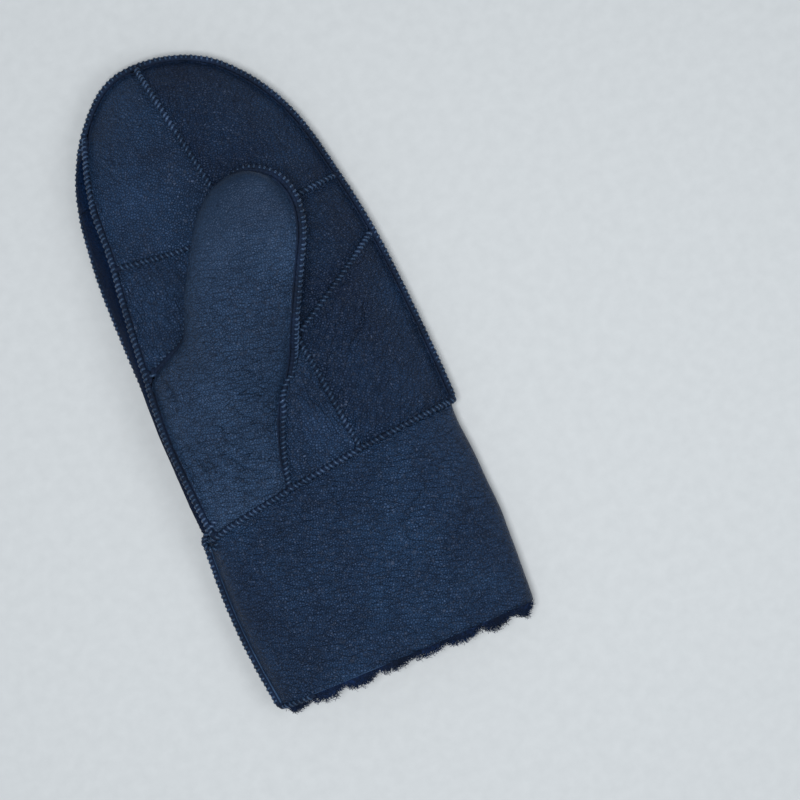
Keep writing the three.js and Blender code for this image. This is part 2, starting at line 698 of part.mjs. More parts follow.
// Side strip in two lengths with a plain butt join
const GUSSET_JOIN = 0.825;
const GUSSET_END = 0.925;
const gussetFoot = wristAlongShare(lowerAtWrist.x);
const gussetFrom = (from, to) => (u, v) => gusset(u, mix(from, to, v));
const stripSides = [lowerSeam, gussetSeam];
leather(
  "gusset_lower",
  leatherGeometry(gussetFrom(gussetFoot, GUSSET_JOIN - SEAM_GAP / LENGTH), 22, 4, {
    sides: stripSides,
    start: [wristLoop],
    end: [],
  }),
  "gusset",
);
leather(
  "gusset_upper",
  leatherGeometry(gussetFrom(GUSSET_JOIN + SEAM_GAP / LENGTH, GUSSET_END), 6, 4, {
    sides: stripSides,
    start: [],
    end: [],
    pointed: true,
  }),
  "gusset",
);

// Palm pieces
const edgeSeams = [lowerSeam, gussetSeam];
leather(
  "palm_tip_thumb_side",
  leatherGeometry(
    (u, v) => {
      const left = palmLine(mix(crossThumb, palmTip, v));
      const right = centreLine(mix(centreCross, 0, v));
      const p = left.lerp(right, u);
      if (v < TIP_BLEND) {
        const seam = crossLine(mix(0, crossCentre, u));
        p.lerp(seam, (1 - v / TIP_BLEND) ** 2);
      }
      return onPalm(p);
    },
    12,
    8,
    { sides: [...edgeSeams, centreSeam], start: [crossSeam], end: [], pointed: true },
  ),
  "palm",
);
leather(
  "palm_tip_little_side",
  leatherGeometry(
    (u, v) => {
      const left = centreLine(mix(centreCross, 0, v));
      const right = palmLine(mix(crossLittle, palmTip, v));
      const p = left.lerp(right, u);
      if (v < TIP_BLEND) {
        const seam = crossLine(mix(crossCentre, 1, u));
        p.lerp(seam, (1 - v / TIP_BLEND) ** 2);
      }
      return onPalm(p);
    },
    12,
    8,
    { sides: [...edgeSeams, centreSeam], start: [crossSeam], end: [], pointed: true },
  ),
  "palm",
);
leather(
  "palm_side",
  leatherGeometry(
    patch(
      between(centreLine, centreSide, centreCross),
      between(palmLine, sideLittle, crossLittle),
      between(sideLine, 1, 0),
      between(crossLine, crossCentre, 1),
      onPalm,
    ),
    6,
    7,
    { sides: [centreSeam, lowerSeam], start: [sideSeam], end: [crossSeam] },
  ),
  "palm",
);
leather(
  "palm_corner",
  leatherGeometry(
    patch(
      between(centreLine, centreWrist, centreSide),
      between(palmLine, palmWristLittle, sideLittle),
      follow(wristLine(centreLine(centreWrist), palmLine(palmWristLittle), onPalm)),
      between(sideLine, 1, 0),
      onPalm,
    ),
    9,
    7,
    { sides: [centreSeam, lowerSeam], start: [wristLoop], end: [sideSeam] },
  ),
  "palm",
);
const crotchWay = smooth([CROTCH_LEFT, CROTCH_RIGHT]).map(onPalm);
const innerWays = [follow([...cornerWay, ...crotchWay]), follow([...rightThenar].reverse())];
const centreLevel = root((s) => CROTCH_RIGHT.y - centreLine(s).y, centreCross, 1);
const outerWays = [
  between(crossLine, 0, crossCentre),
  between(centreLine, centreCross, centreLevel),
  between(centreLine, centreLevel, centreWrist),
];
const innerRun = (t) => (t < 0.5 ? innerWays[0](2 * t) : innerWays[1](2 * t - 1));
function outerRun(t) {
  if (t < 1 / 3) return outerWays[0](3 * t);
  return t < 0.5 ? outerWays[1](6 * t - 2) : outerWays[2](2 * t - 1);
}
leather(
  "palm_lower",
  leatherGeometry(
    (u, v) => onPalm(innerRun(u).lerp(outerRun(u), v)),
    5,
    18,
    {
      sides: [gussetSeam, wristLoop],
      start: [cornerSeam, crotchWay, thenarSeam, leftThumbSeam, rightThumbSeam],
      end: [crossSeam, centreSeam],
    },
  ),
  "palm",
);

// Thumb
leather(
  "thumb_front",
  leatherGeometry(thumbFront, 24, 10, {
    sides: [gussetSeam, cornerSeam, leftThumbSeam, thenarSeam, rightThumbSeam],
    start: [wristLoop],
    end: [],
    pointed: true,
  }),
  "thumb",
);
leather(
  "thumb_back",
  leatherGeometry(thumbBack, 14, 8, {
    sides: [leftThumbSeam, rightThumbSeam],
    start: [crotchWay],
    end: [],
    pointed: true,
    extra: CORNER_GAP,
  }),
  "thumb",
);

// Cuff and wool
leather(
  "cuff",
  leatherGeometry(cuffSurface, 6, 36, { sides: [cuffSideSeam], start: [], end: [wristLoop] }),
  "cuff",
);
add("wool_lining", woolGeometry(), WOOL_COLOUR, WOOL_ROUGHNESS);

// Seams, each cut short where it meets another
const JOIN = 2 * SEAM_RADIUS + SEAM_GAP;
const GUSSET_JOIN_SPAN = [1, 0.7];
function shortened(points, atStart, atEnd) {
  const line = follow(points);
  return stretch(line, atStart / line.total, 1 - atEnd / line.total, CURVE_STEP);
}
thread("seam_back_edge", cordGeometry(shortened(lowerSeam, JOIN, JOIN)));
const gussetWay = follow(gussetSeam);
const gussetJoin = root((s) => nearest(lowerSeam, gussetWay(s), false).distance - JOIN, ...GUSSET_JOIN_SPAN);
thread("seam_gusset", cordGeometry(shortened(stretch(gussetWay, 0, gussetJoin), JOIN, 0)));
thread("seam_palm_centre", cordGeometry(shortened(centreSeam, JOIN, JOIN)));
const crossWay = follow(crossSeam);
const crossGap = JOIN / crossWay.total;
thread("seam_palm_cross_thumb_side", cordGeometry(stretch(crossWay, crossGap, crossCentre - crossGap)));
thread("seam_palm_cross_little_side", cordGeometry(stretch(crossWay, crossCentre + crossGap, 1 - crossGap)));
thread("seam_palm_side", cordGeometry(shortened(sideSeam, JOIN, JOIN)));
const thumbSeam = [...cornerSeam, ...leftThumbSeam.slice(1), ...[...rightThumbSeam].reverse().slice(1)];
const thumbRun = [...thumbSeam, ...[...thenarSeam].reverse().slice(1)];
thread("seam_thumb", cordGeometry(shortened(thumbRun, JOIN, JOIN)));
thread("seam_wrist", cordGeometry(wristSeam, true));
thread("seam_cuff_side", cordGeometry(shortened(cuffSideSeam, 0, JOIN)));

// Origin at the middle of the underside
const box = new THREE.Box3().setFromObject(mitten);
const middle = box.getCenter(new THREE.Vector3());
mitten.position.set(-middle.x, -middle.y, -box.min.z);

export default mitten;
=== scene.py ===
# %% [markdown]
# # A sheepskin mitten, palm up
# The mitten is sewn from pieces of blue sheepskin, leather outside and wool inside. Its solids come from the
# frame, in metres, and this lesson turns them into soft grained leather, whipped seams and curly wool.

# %% Load the frame
import math
import random
import bmesh
import bpy
from mathutils import Matrix, Vector, kdtree, noise


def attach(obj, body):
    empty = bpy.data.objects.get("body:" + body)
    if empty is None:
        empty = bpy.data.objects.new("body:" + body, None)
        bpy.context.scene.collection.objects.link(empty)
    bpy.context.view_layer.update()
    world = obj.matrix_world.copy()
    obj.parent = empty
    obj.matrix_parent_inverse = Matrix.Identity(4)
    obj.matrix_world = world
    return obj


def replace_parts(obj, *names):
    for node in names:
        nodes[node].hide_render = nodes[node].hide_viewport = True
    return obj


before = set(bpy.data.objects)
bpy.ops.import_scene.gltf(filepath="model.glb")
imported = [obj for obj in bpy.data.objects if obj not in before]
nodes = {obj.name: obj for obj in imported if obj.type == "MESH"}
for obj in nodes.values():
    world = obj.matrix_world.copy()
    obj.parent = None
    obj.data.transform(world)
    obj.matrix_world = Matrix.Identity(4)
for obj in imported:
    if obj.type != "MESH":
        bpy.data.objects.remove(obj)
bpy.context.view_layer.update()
MM = 0.001
print("frame nodes:", len(nodes))

# %% [markdown]
# ## Helpers for colour and materials
# Hex colours are picked in sRGB, while the shader works in linear light, so one function converts them.
# A second small function adds a shader node with its settings and its links.

# %% Colour and node helpers
def linear(hex_colour):
    """An sRGB hex colour as linear RGBA."""
    channels = [int(hex_colour[i:i + 2], 16) / 255 for i in (1, 3, 5)]
    return (*[c / 12.92 if c <= 0.04045 else ((c + 0.055) / 1.055) ** 2.4 for c in channels], 1.0)


def add(tree, kind, inputs=None, **settings):
    """A node of a kind, with its settings, and its inputs set to values or linked to sockets."""
    made = tree.nodes.new(kind)
    for name, value in settings.items():
        setattr(made, name, value)
    for socket, value in (inputs or {}).items():
        if isinstance(value, bpy.types.NodeSocket):
            tree.links.new(value, made.inputs[socket])
        else:
            made.inputs[socket].default_value = value
    return made


def start_material(name):
    """A new material with a bare shader and Object coordinates."""
    material = bpy.data.materials.new(name)
    material.use_nodes = True
    tree = material.node_tree
    tree.nodes.clear()
    output = add(tree, "ShaderNodeOutputMaterial")
    shader = add(tree, "ShaderNodeBsdfPrincipled")
    tree.links.new(shader.outputs["BSDF"], output.inputs["Surface"])
    place = add(tree, "ShaderNodeTexCoord").outputs["Object"]
    return material, tree, shader, place


def ramp(tree, factor, stops):
    """A colour ramp through hex colours at the given places."""
    made = add(tree, "ShaderNodeValToRGB", {"Fac": factor})
    band = made.color_ramp
    while len(band.elements) < len(stops):
        band.elements.new(0.5)
    for element, (position, colour) in zip(band.elements, stops):
        element.position = position
        element.color = linear(colour)
    return made.outputs["Color"]


print("helpers ready")

# %% [markdown]
# ## Nappa finish on sheepskin
# The outside is the skin side of a shearling, sprayed with a thin blue finish. It has a soft satin gloss and
# a fine pebble grain of about 1 mm. Where the leather is bent or gathered, longer wrinkles of 3 to 9 mm show.
# Noise alone would look like sand, so Voronoi cells give the pebbles and stretched cells give the wrinkles.
# The wrinkle lines are darkened as painted shade, most near seams and creases.
# The pores between the pebbles are finer and would blur away here, so only the pebbles are drawn, and the
# lines between them are darkened as painted shade.
# The mesh says with two attributes how much grain and how much wrinkling each place has. Where the grain
# falls, towards the thumb's tip, the colour is also darkened as painted shade. Each panel is cut from another
# part of the skin, so its pattern is turned by its own angle.

# %% Pattern of pebbles and wrinkles
GRAIN_MM = 1.15
WRINKLE_MM = (9.0, 2.6, 4.0)
WARP_MM = 1.1
WARP_NOISE_MM = 4.0


def turned_place(tree, place, turn_deg):
    """Coordinates turned and shifted for one panel, and bent so that no line is straight."""
    laid = add(
        tree,
        "ShaderNodeMapping",
        {
            "Vector": place,
            "Rotation": (0, 0, math.radians(turn_deg)),
            "Location": (turn_deg * 0.01, 0.3, 0.1),
        },
    ).outputs[0]
    warp = add(tree, "ShaderNodeTexNoise", {"Vector": laid, "Scale": 1000 / WARP_NOISE_MM, "Detail": 2.0})
    bent = add(
        tree,
        "ShaderNodeVectorMath",
        {0: warp.outputs["Color"], 1: (WARP_MM * MM,) * 3},
        operation="MULTIPLY",
    )
    return add(tree, "ShaderNodeVectorMath", {0: laid, 1: bent.outputs[0]}, operation="ADD").outputs[0]


def cell_lines(tree, place, scale, width):
    """0 on the lines between Voronoi cells, rising to 1 over a width."""
    cells = add(
        tree,
        "ShaderNodeTexVoronoi",
        {"Vector": place, "Scale": scale},
        feature="DISTANCE_TO_EDGE",
    )
    return add(
        tree, "ShaderNodeMapRange", {"Value": cells.outputs["Distance"], "From Max": width}
    ).outputs[0]


print("pebbles and wrinkles, mm:", GRAIN_MM, WRINKLE_MM)

# %% Leather material
SAG_MM = 6.0
MOTTLE_MM = 34.0
SAG_BUMP_MM = 0.7
WRINKLE_BUMP_MM = 0.45
GRAIN_BUMP_MM = 0.24
GLOSS_SPREAD = 0.08
# Painted shade towards the thumb's tip: as the grain attribute falls from 1 to the first value below, the
# colour darkens to the share given by the second.
TIP_SHADE_FROM_GRAIN = 0.4
TIP_PAINTED_SHADE = 0.46


def multiplied(tree, amount, first, second):
    """One colour darkened by another, by an amount."""
    return add(
        tree,
        "ShaderNodeMix",
        {0: amount, 6: first, 7: second},
        data_type="RGBA",
        blend_type="MULTIPLY",
    ).outputs[2]


def leather_material(name, tones, roughness, turn_deg, ior):
    """Sprayed sheepskin in three tones, with its pattern turned."""
    material, tree, shader, place = start_material(name)
    moved = turned_place(tree, place, turn_deg)
    grain_and_tip_shade = add(tree, "ShaderNodeAttribute", attribute_name="grain").outputs["Fac"]
    fold_amount = add(tree, "ShaderNodeAttribute", attribute_name="fold").outputs["Fac"]
    pebble = cell_lines(tree, moved, 1000 / GRAIN_MM, 0.3)
    stretched = add(
        tree, "ShaderNodeMapping", {"Vector": moved, "Scale": [1 / size for size in WRINKLE_MM]}
    ).outputs[0]
    wrinkle = cell_lines(tree, stretched, 1000.0, 0.16)
    sag = add(
        tree,
        "ShaderNodeTexNoise",
        {"Vector": moved, "Scale": 1000 / SAG_MM, "Detail": 5.0, "Roughness": 0.65, "Distortion": 0.5},
    ).outputs["Fac"]
    mottle = add(
        tree,
        "ShaderNodeTexNoise",
        {"Vector": place, "Scale": 1000 / MOTTLE_MM, "Detail": 4.0, "Roughness": 0.6},
    ).outputs["Fac"]
    tone = ramp(tree, mottle, list(zip((0.32, 0.52, 0.72), tones)))
    # Painted shade: the lines between the pebbles are darkened, as much as the grain attribute says.
    pebble_gap_shade = ramp(tree, pebble, [(0.0, "#868686"), (0.55, "#ffffff")])
    pebble_shaded = multiplied(tree, grain_and_tip_shade, tone, pebble_gap_shade)
    # Painted shade: the wrinkle lines are darkened by the fold attribute, which is highest near seams and
    # creases.
    wrinkle_shade = ramp(tree, wrinkle, [(0.0, "#6c6c6c"), (0.8, "#ffffff")])
    wrinkled = multiplied(tree, fold_amount, pebble_shaded, wrinkle_shade)
    # Painted shade: the colour is darkened where the grain attribute is low, towards the thumb's tip.
    tip_painted_shade = add(
        tree,
        "ShaderNodeMapRange",
        {"Value": grain_and_tip_shade, "From Min": TIP_SHADE_FROM_GRAIN, "From Max": 1.0, "To Min": TIP_PAINTED_SHADE},
    ).outputs[0]
    tree.links.new(multiplied(tree, 1.0, wrinkled, tip_painted_shade), shader.inputs["Base Color"])
    gloss = add(
        tree,
        "ShaderNodeMapRange",
        {
            "Value": sag,
            "From Min": 0.3,
            "From Max": 0.7,
            "To Min": roughness - GLOSS_SPREAD,
            "To Max": roughness + GLOSS_SPREAD,
        },
    )
    tree.links.new(gloss.outputs[0], shader.inputs["Roughness"])
    normal = add(
        tree, "ShaderNodeBump", {"Height": sag, "Strength": 0.7, "Distance": SAG_BUMP_MM * MM}
    ).outputs[0]
    for height, strength, depth in (
        (wrinkle, fold_amount, WRINKLE_BUMP_MM),
        (pebble, grain_and_tip_shade, GRAIN_BUMP_MM),
    ):
        normal = add(
            tree,
            "ShaderNodeBump",
            {"Height": height, "Strength": strength, "Distance": depth * MM, "Normal": normal},
        ).outputs[0]
    tree.links.new(normal, shader.inputs["Normal"])
    shader.inputs["IOR"].default_value = ior
    shader.inputs["Specular IOR Level"].default_value = 0.4
    shader.inputs["Specular Tint"].default_value = linear("#b4caf5")
    return material


print("bump depths, mm:", SAG_BUMP_MM, WRINKLE_BUMP_MM, GRAIN_BUMP_MM)

# %% [markdown]
# ## Polyester overlock thread
# The seams are whipped over by machine with a twisted polyester thread, glossier than the leather. Its colour
# is drawn a little lighter than the leather's as a painted highlight. Painted stitches would lie flat, so the
# stitch itself is geometry, and the material adds only colour and the twist of the yarn, drawn coarser than
# it is so that it shows. The cut edges of the skin and the wool are fibres too, so one function makes all
# four.

# %% Thread, cut edge and wool materials
TWIST_MM = 0.5
EDGE_MM = 0.9
SUEDE_MM = 0.8
CURL_MM = 1.8
DRIFT_MM = 16


def fibre_material(name, tones, pattern_mm, bump_mm, roughness, sheen):
    """Fibres in three tones that drift slowly over the piece."""
    material, tree, shader, place = start_material(name)
    fuzz = add(
        tree,
        "ShaderNodeTexNoise",
        {"Vector": place, "Scale": 1000 / pattern_mm, "Detail": 4.0, "Distortion": 0.8},
    ).outputs["Fac"]
    drift = add(
        tree, "ShaderNodeTexNoise", {"Vector": place, "Scale": 1000 / DRIFT_MM, "Detail": 3.0}
    ).outputs["Fac"]
    both = add(tree, "ShaderNodeMath", {0: fuzz, 1: drift}, operation="ADD").outputs[0]
    half = add(tree, "ShaderNodeMath", {0: both, 1: 0.5}, operation="MULTIPLY").outputs[0]
    tone = ramp(tree, half, list(zip((0.38, 0.5, 0.62), tones)))
    tree.links.new(tone, shader.inputs["Base Color"])
    bump = add(tree, "ShaderNodeBump", {"Height": fuzz, "Strength": 0.8, "Distance": bump_mm * MM})
    tree.links.new(bump.outputs["Normal"], shader.inputs["Normal"])
    shader.inputs["Roughness"].default_value = roughness
    shader.inputs["Sheen Weight"].default_value = sheen
    shader.inputs["Sheen Roughness"].default_value = 0.5
    shader.inputs["Sheen Tint"].default_value = linear("#6f93d8")
    shader.inputs["Specular Tint"].default_value = linear("#b9cdf0")
    return material


THREAD_AND_HIGHLIGHT_TONES = ("#16253b", "#283e58", "#43597a")
SHADED_EDGE_TONES = ("#081221", "#0d1a2f", "#13233e")
HEM_TONES = ("#22354f", "#2d4361", "#3b5575")
WOOL_AND_SHADE_TONES = ("#060d1b", "#0b1830", "#142c55")
# Polyester is smooth, so the thread catches small glints. Its tones are also lightened as a painted highlight
# on the stitches.
thread = fibre_material("polyester_overlock_thread", THREAD_AND_HIGHLIGHT_TONES, TWIST_MM, 0.15, 0.3, 0.0)
# The sheared edge has no finish, so it is dull and a little dark, and its tones are darkened further as
# painted shade in the gaps between the stitches.
raw_edge = fibre_material("sheared_leather_edge", SHADED_EDGE_TONES, EDGE_MM, 0.4, 0.8, 0.0)
# The hem's cut shows suede fibres, matt and paler than the skin side.
cut_edge = fibre_material("cut_suede_hem", HEM_TONES, SUEDE_MM, 0.4, 0.9, 0.1)
# Wool is matt, with a faint blue sheen on its curls. Its tones are darkened nearly to black as painted shade,
# since the wool at the mouth lies mostly in shadow.
wool = fibre_material("dyed_wool_pile", WOOL_AND_SHADE_TONES, CURL_MM, 0.9, 0.95, 0.2)
print("fibre materials:", [m.name for m in (thread, raw_edge, cut_edge, wool)])

# %% [markdown]
# ## Where the seams run
# Stitches need the line that they go over. It could be typed in again, but then it would drift from the
# solids. Each seam solid is a six-sided cord. The corners of one of its rings lie close together and the next
# ring is several millimetres on, so grouping near corners gives the points of the seam's middle line.

# %% Centres of a seam's rings
SAME_CORNER = 0.02 * MM
RING_REACH = 2.85 * MM
SEAMS = [name for name in nodes if name.startswith("seam_")]
CLOSED = {"seam_wrist"}


def ring_centres(obj):
    """The centre of each ring of corners of a cord solid."""
    points = []
    for vertex in obj.data.vertices:
        if all((vertex.co - p).length > SAME_CORNER for p in points):
            points.append(vertex.co.copy())
    groups = []
    free = set(range(len(points)))
    while free:
        group = [free.pop()]
        for member in group:
            close = [i for i in free if (points[i] - points[member]).length < RING_REACH]
            free.difference_update(close)
            group.extend(close)
        groups.append(sum((points[i] for i in group), Vector()) / len(group))
    return groups


print("seams:", len(SEAMS), "closed:", CLOSED)

# %% Put the centres in order
def in_order(centres, closed):
    """The centres as one run from an end of the seam."""
    def neighbours(p):
        return sorted((q for q in centres if q is not p), key=lambda q: (q - p).length)[:2]

    def turn(p):
        a, b = neighbours(p)
        return (a - p).normalized().dot((b - p).normalized())

    run = [centres[0] if closed else max(centres, key=turn)]
    left = [p for p in centres if p is not run[0]]
    while left:
        following = min(left, key=lambda q: (q - run[-1]).length)
        left = [q for q in left if q is not following]
        run.append(following)
    return run


runs = {name: in_order(ring_centres(nodes[name]), name in CLOSED) for name in SEAMS}
print("centres of rings:", {name: len(run) for name, run in runs.items()})

# %% Smooth paths through the centres
PATH_STEP = 0.5 * MM
CURVE_STEPS = 12


def resampled(run, closed=False):
    """Evenly spaced points on a smooth curve through a run of points."""
    if closed:
        ends = [run[-1], *run, run[0], run[1]]
    else:
        ends = [2 * run[0] - run[1], *run, 2 * run[-1] - run[-2]]
    fine = []
    for a, b, c, d in zip(ends, ends[1:], ends[2:], ends[3:]):
        for k in range(CURVE_STEPS):
            t = k / CURVE_STEPS
            square, cube = 2 * a - 5 * b + 4 * c - d, 3 * b - 3 * c + d - a
            fine.append(0.5 * (2 * b + (c - a) * t + square * t * t + cube * t**3))
    if not closed:
        fine.append(run[-1].copy())
    out = [fine[0].copy()]
    carried = 0.0
    for p, q in zip(fine, fine[1:] + (fine[:1] if closed else [])):
        gap = (q - p).length
        while carried + gap >= PATH_STEP and gap > 0:
            p = p.lerp(q, (PATH_STEP - carried) / gap)
            gap = (q - p).length
            carried = 0.0
            out.append(p.copy())
        carried += gap
    return out


paths = {name: resampled(run, name in CLOSED) for name, run in runs.items()}
print("points of paths:", sum(len(path) for path in paths.values()))

# %% Carry each path on into the seam that it meets
JOIN_REACH = 6 * MM


def joined(name):
    """A seam's path, carried on at each end into the seam that it meets."""
    others = [p for other, path in paths.items() if other != name for p in path]
    path = list(paths[name])
    for _ in range(2):
        path.reverse()
        target = min(others, key=lambda q: (q - path[-1]).length)
        gap = (target - path[-1]).length
        if gap < JOIN_REACH:
            steps = int(gap / PATH_STEP)
            path.extend([path[-1].lerp(target, (k + 1) / (steps + 1)) for k in range(steps)])
    return path


paths = {name: paths[name] if name in CLOSED else joined(name) for name in SEAMS}
print({name: round(len(path) * PATH_STEP / MM) for name, path in paths.items()}, "mm of seam")

# %% Find the nearest seam
def tree_of(points):
    """A search tree over points."""
    made = kdtree.KDTree(len(points))
    for i, point in enumerate(points):
        made.insert(point, i)
    made.balance()
    return made


seam_tree = tree_of([p for path in paths.values() for p in path])
print("nearest seam to the middle, mm:", round(seam_tree.find(Vector())[2] / MM, 1))

# %% [markdown]
# ## Soft leather panels
# A rigid panel looks like plastic. A cloth simulation could soften it, but it would lose the sewn outline and
# the creases. So a copy of each solid is merged and smoothed by subdivision, and then its outer face is moved
# a little: it is drawn in at each seam and gathered by the stitches, it swells and sags over the hand, and it
# creases where the thumb is folded down. The inner face is the wool side of the skin.

# %% Creases, in millimetres on the palm: from, to, sideways bow, depth, half width
CREASES = {
    "thumb_front": [
        ((-41, -23.9), (-21.7, -48.1), 2.5, 0.9, 1.3),
        ((-18.7, -6.8), (-10.7, -19.8), -1.5, 0.7, 1.0),
        ((-35.1, -22.6), (-20.1, -38.6), 2.0, 0.7, 1.0),
        ((-39.7, -44.8), (-25.9, -52.2), 1.5, 0.7, 1.0),
        ((-48.5, -48.4), (-32.4, -50.4), 1.0, 0.6, 1.0),
        ((-53.0, -18.4), (-50.5, -42.2), -1.5, 0.6, 1.8),
        ((-48.0, -24.0), (-45.5, -43.0), -1.2, 0.4, 1.3),
        ((-52.2, 13.7), (-50.6, -2.1), -2.5, 0.6, 1.1),
        ((-15.7, 2.6), (-10.2, -9.4), -1.0, 0.6, 1.0),
        ((-28.0, -8.0), (-14.0, -27.5), 2.0, 0.6, 1.0),
        ((-24.0, -2.0), (-12.5, -14.0), 1.5, 0.5, 0.9),
        ((-45.0, -31.0), (-29.0, -45.0), 2.2, 0.5, 1.0),
        ((-24.0, 12.0), (-6.0, 3.0), 1.5, 0.4, 0.9),
        ((-38.0, -12.0), (-24.0, -27.0), 2.0, 0.4, 1.0),
    ],
    "palm_corner": [((30.0, -6.0), (46.0, 12.0), 2.0, 0.4, 1.4)],
    "palm_lower": [((2.0, -12.0), (14.0, -34.0), 2.0, 0.7, 1.8), ((8.0, -8.0), (20.0, -27.0), 1.5, 0.5, 1.4)],
    "palm_tip_thumb_side": [((-40.0, 44.0), (-12.0, 50.0), 2.5, 0.45, 2.4)],
    "palm_side": [((-44.0, 30.0), (-33.0, 8.0), 1.5, 0.4, 1.5)],
    "cuff": [
        ((-44.0, -65.0), (-42.0, -76.0), 1.0, 0.35, 1.8),
        ((-30.0, -62.0), (-31.0, -76.0), -1.0, 0.3, 1.8),
        ((-14.0, -60.0), (-17.0, -74.0), 1.0, 0.4, 2.0),
        ((2.0, -57.0), (-4.0, -80.0), 1.5, 0.4, 2.2),
        ((18.0, -55.0), (13.0, -70.0), -1.0, 0.35, 1.9),
        ((34.0, -52.0), (34.0, -66.0), 1.0, 0.35, 1.8),
        ((52.0, -66.0), (-8.0, -122.0), 5.0, 0.9, 6.5),
        ((58.0, -88.0), (16.0, -130.0), 4.0, 0.7, 5.5),
    ],
}
print("creases:", sum(len(rows) for rows in CREASES.values()))

# %% Height of the creases
CREASE_WANDER_MM = 0.5
LIP = 0.35
LIP_AT = 2.0
CREASE_WRINKLED = 0.7
WRINKLED_MM = 5


def crease_field(rows):
    """A search tree over the points of the creases, and each point's depth and half width."""
    up = Vector((0, 0, 1))
    points, sizes = [], []
    for (x0, y0), (x1, y1), bow, depth, half in rows:
        start, end = Vector((x0, y0, 0)) * MM, Vector((x1, y1, 0)) * MM
        across = (end - start).cross(up).normalized() * bow * MM
        count = round((end - start).length / PATH_STEP)
        for k in range(count + 1):
            t = k / count
            arch = math.sin(math.pi * t)
            wander = CREASE_WANDER_MM * noise.noise(Vector((t * 6, x0, y0))) / abs(bow)
            points.append(start.lerp(end, t) + across * (arch + wander))
            sizes.append((depth * arch**0.6, half))
    return tree_of(points), sizes


def creased(p, field):
    """Height in mm of the creases at p, and how near the nearest one is, from 0 to 1."""
    if field is None:
        return 0.0, 0.0
    found = field[0].find_n(Vector((p.x, p.y, 0)), 1)[0]
    depth, half = field[1][found[1]]
    reach = found[2] / MM / half
    dip = -depth * math.exp(-(reach**2))
    lip = LIP * depth * math.exp(-((reach - LIP_AT) ** 2))
    return dip + lip, CREASE_WRINKLED * math.exp(-found[2] / MM / WRINKLED_MM)


print("points of the thumb's creases:", len(crease_field(CREASES["thumb_front"])[1]))

# %% Tell the outer face from the inner one and the rim
THUMB_LINE = [Vector(p) * MM for p in ((-35, -55, 10), (-25, -10, 18), (-8, 30, 38), (18, 68, 40))]
THUMB_SPOTS = [a.lerp(b, k / 8) for a, b in zip(THUMB_LINE, THUMB_LINE[1:]) for k in range(9)]
HAND_INSIDE = {"half": 30 * MM, "end": 100 * MM, "height": 13 * MM}
OUTER, RIM, INNER = 0, 1, 2
SHARP = 1.0
LARGE = 0.25


def clamp(value, low, high):
    """The value, kept between two limits."""
    return max(low, min(high, value))


def inside_point(p, thumb):
    """A place inside the hand or the thumb near p."""
    if thumb:
        return min(THUMB_SPOTS, key=lambda q: (q - p).length)
    half, end, height = HAND_INSIDE.values()
    return Vector((clamp(p.x, -half, half), min(end, p.y), height))


def sort_faces(bm, thumb):
    """Mark each face of a shell as outer, inner or thin rim, by the smooth region that it lies in."""
    free = dict.fromkeys(bm.faces)
    regions = []
    while free:
        region = [free.popitem()[0]]
        for face in region:
            smooth = [edge for edge in face.edges if edge.calc_face_angle(0) < SHARP]
            for other in [face for edge in smooth for face in edge.link_faces]:
                if other in free:
                    del free[other]
                    region.append(other)
        regions.append(region)
    areas = [sum(f.calc_area() for f in region) for region in regions]
    for region, area in zip(regions, areas):
        middles = [(f, f.calc_center_median()) for f in region]
        outwards = sum(f.normal.dot((c - inside_point(c, thumb)).normalized()) for f, c in middles)
        kind = RIM if area < LARGE * max(areas) else OUTER if outwards > 0 else INNER
        for face in region:
            face.smooth = True
            face.material_index = kind


print("places inside the thumb:", len(THUMB_SPOTS))

# %% How soft leather moves, in millimetres
SWELL, SWELL_FROM = 0.9, 9
FINE_SWELL, FINE_SHIFT = 0.45, Vector((7, 3, 1))
GROOVE, GROOVE_FROM, GROOVE_WIDTH = 0.5, 1.8, 1.5
BANK, BANK_AT, BANK_WIDTH = 0.25, 6, 3
PUCKER, PUCKER_FROM, PUCKER_REACH = 0.42, 1.2, 4.5
PUCKERS_PER_METRE = 260
# Near seams and creases the fold attribute rises, which adds wrinkles and painted shade in their lines.
SEAM_WRINKLED = 0.45


def bell(value, width):
    """1 at zero, falling off smoothly over a width."""
    return math.exp(-((value / width) ** 2))


def moved_point(p, normal, field):
    """Where soft leather at p goes, and how much it is wrinkled there."""
    _, index, distance = seam_tree.find(p)
    mm = distance / MM
    slow = noise.noise(p * 24) * SWELL + noise.noise(p * 60 + FINE_SHIFT) * FINE_SWELL
    swell = slow * (1 - bell(mm, SWELL_FROM))
    groove = BANK * bell(mm - BANK_AT, BANK_WIDTH)
    groove -= GROOVE * bell(max(mm, GROOVE_FROM) - GROOVE_FROM, GROOVE_WIDTH)
    gathers = noise.noise(Vector((index * PATH_STEP * PUCKERS_PER_METRE, 5.0, 0)))
    pucker = PUCKER * gathers * math.exp(-mm / PUCKER_REACH) * (1 - math.exp(-mm / PUCKER_FROM))
    crease, wrinkled = creased(p, field)
    moved = p + normal * (swell + groove + pucker + crease) * MM
    return moved, max(wrinkled, SEAM_WRINKLED * math.exp(-mm / WRINKLED_MM))


print("largest swell and groove, mm:", SWELL + FINE_SWELL, GROOVE)

# %% Edges tucked under the stitches
SEAM_REACH = 3.8
TUCKED = 0.1
TUCK_SPREAD = 2.2


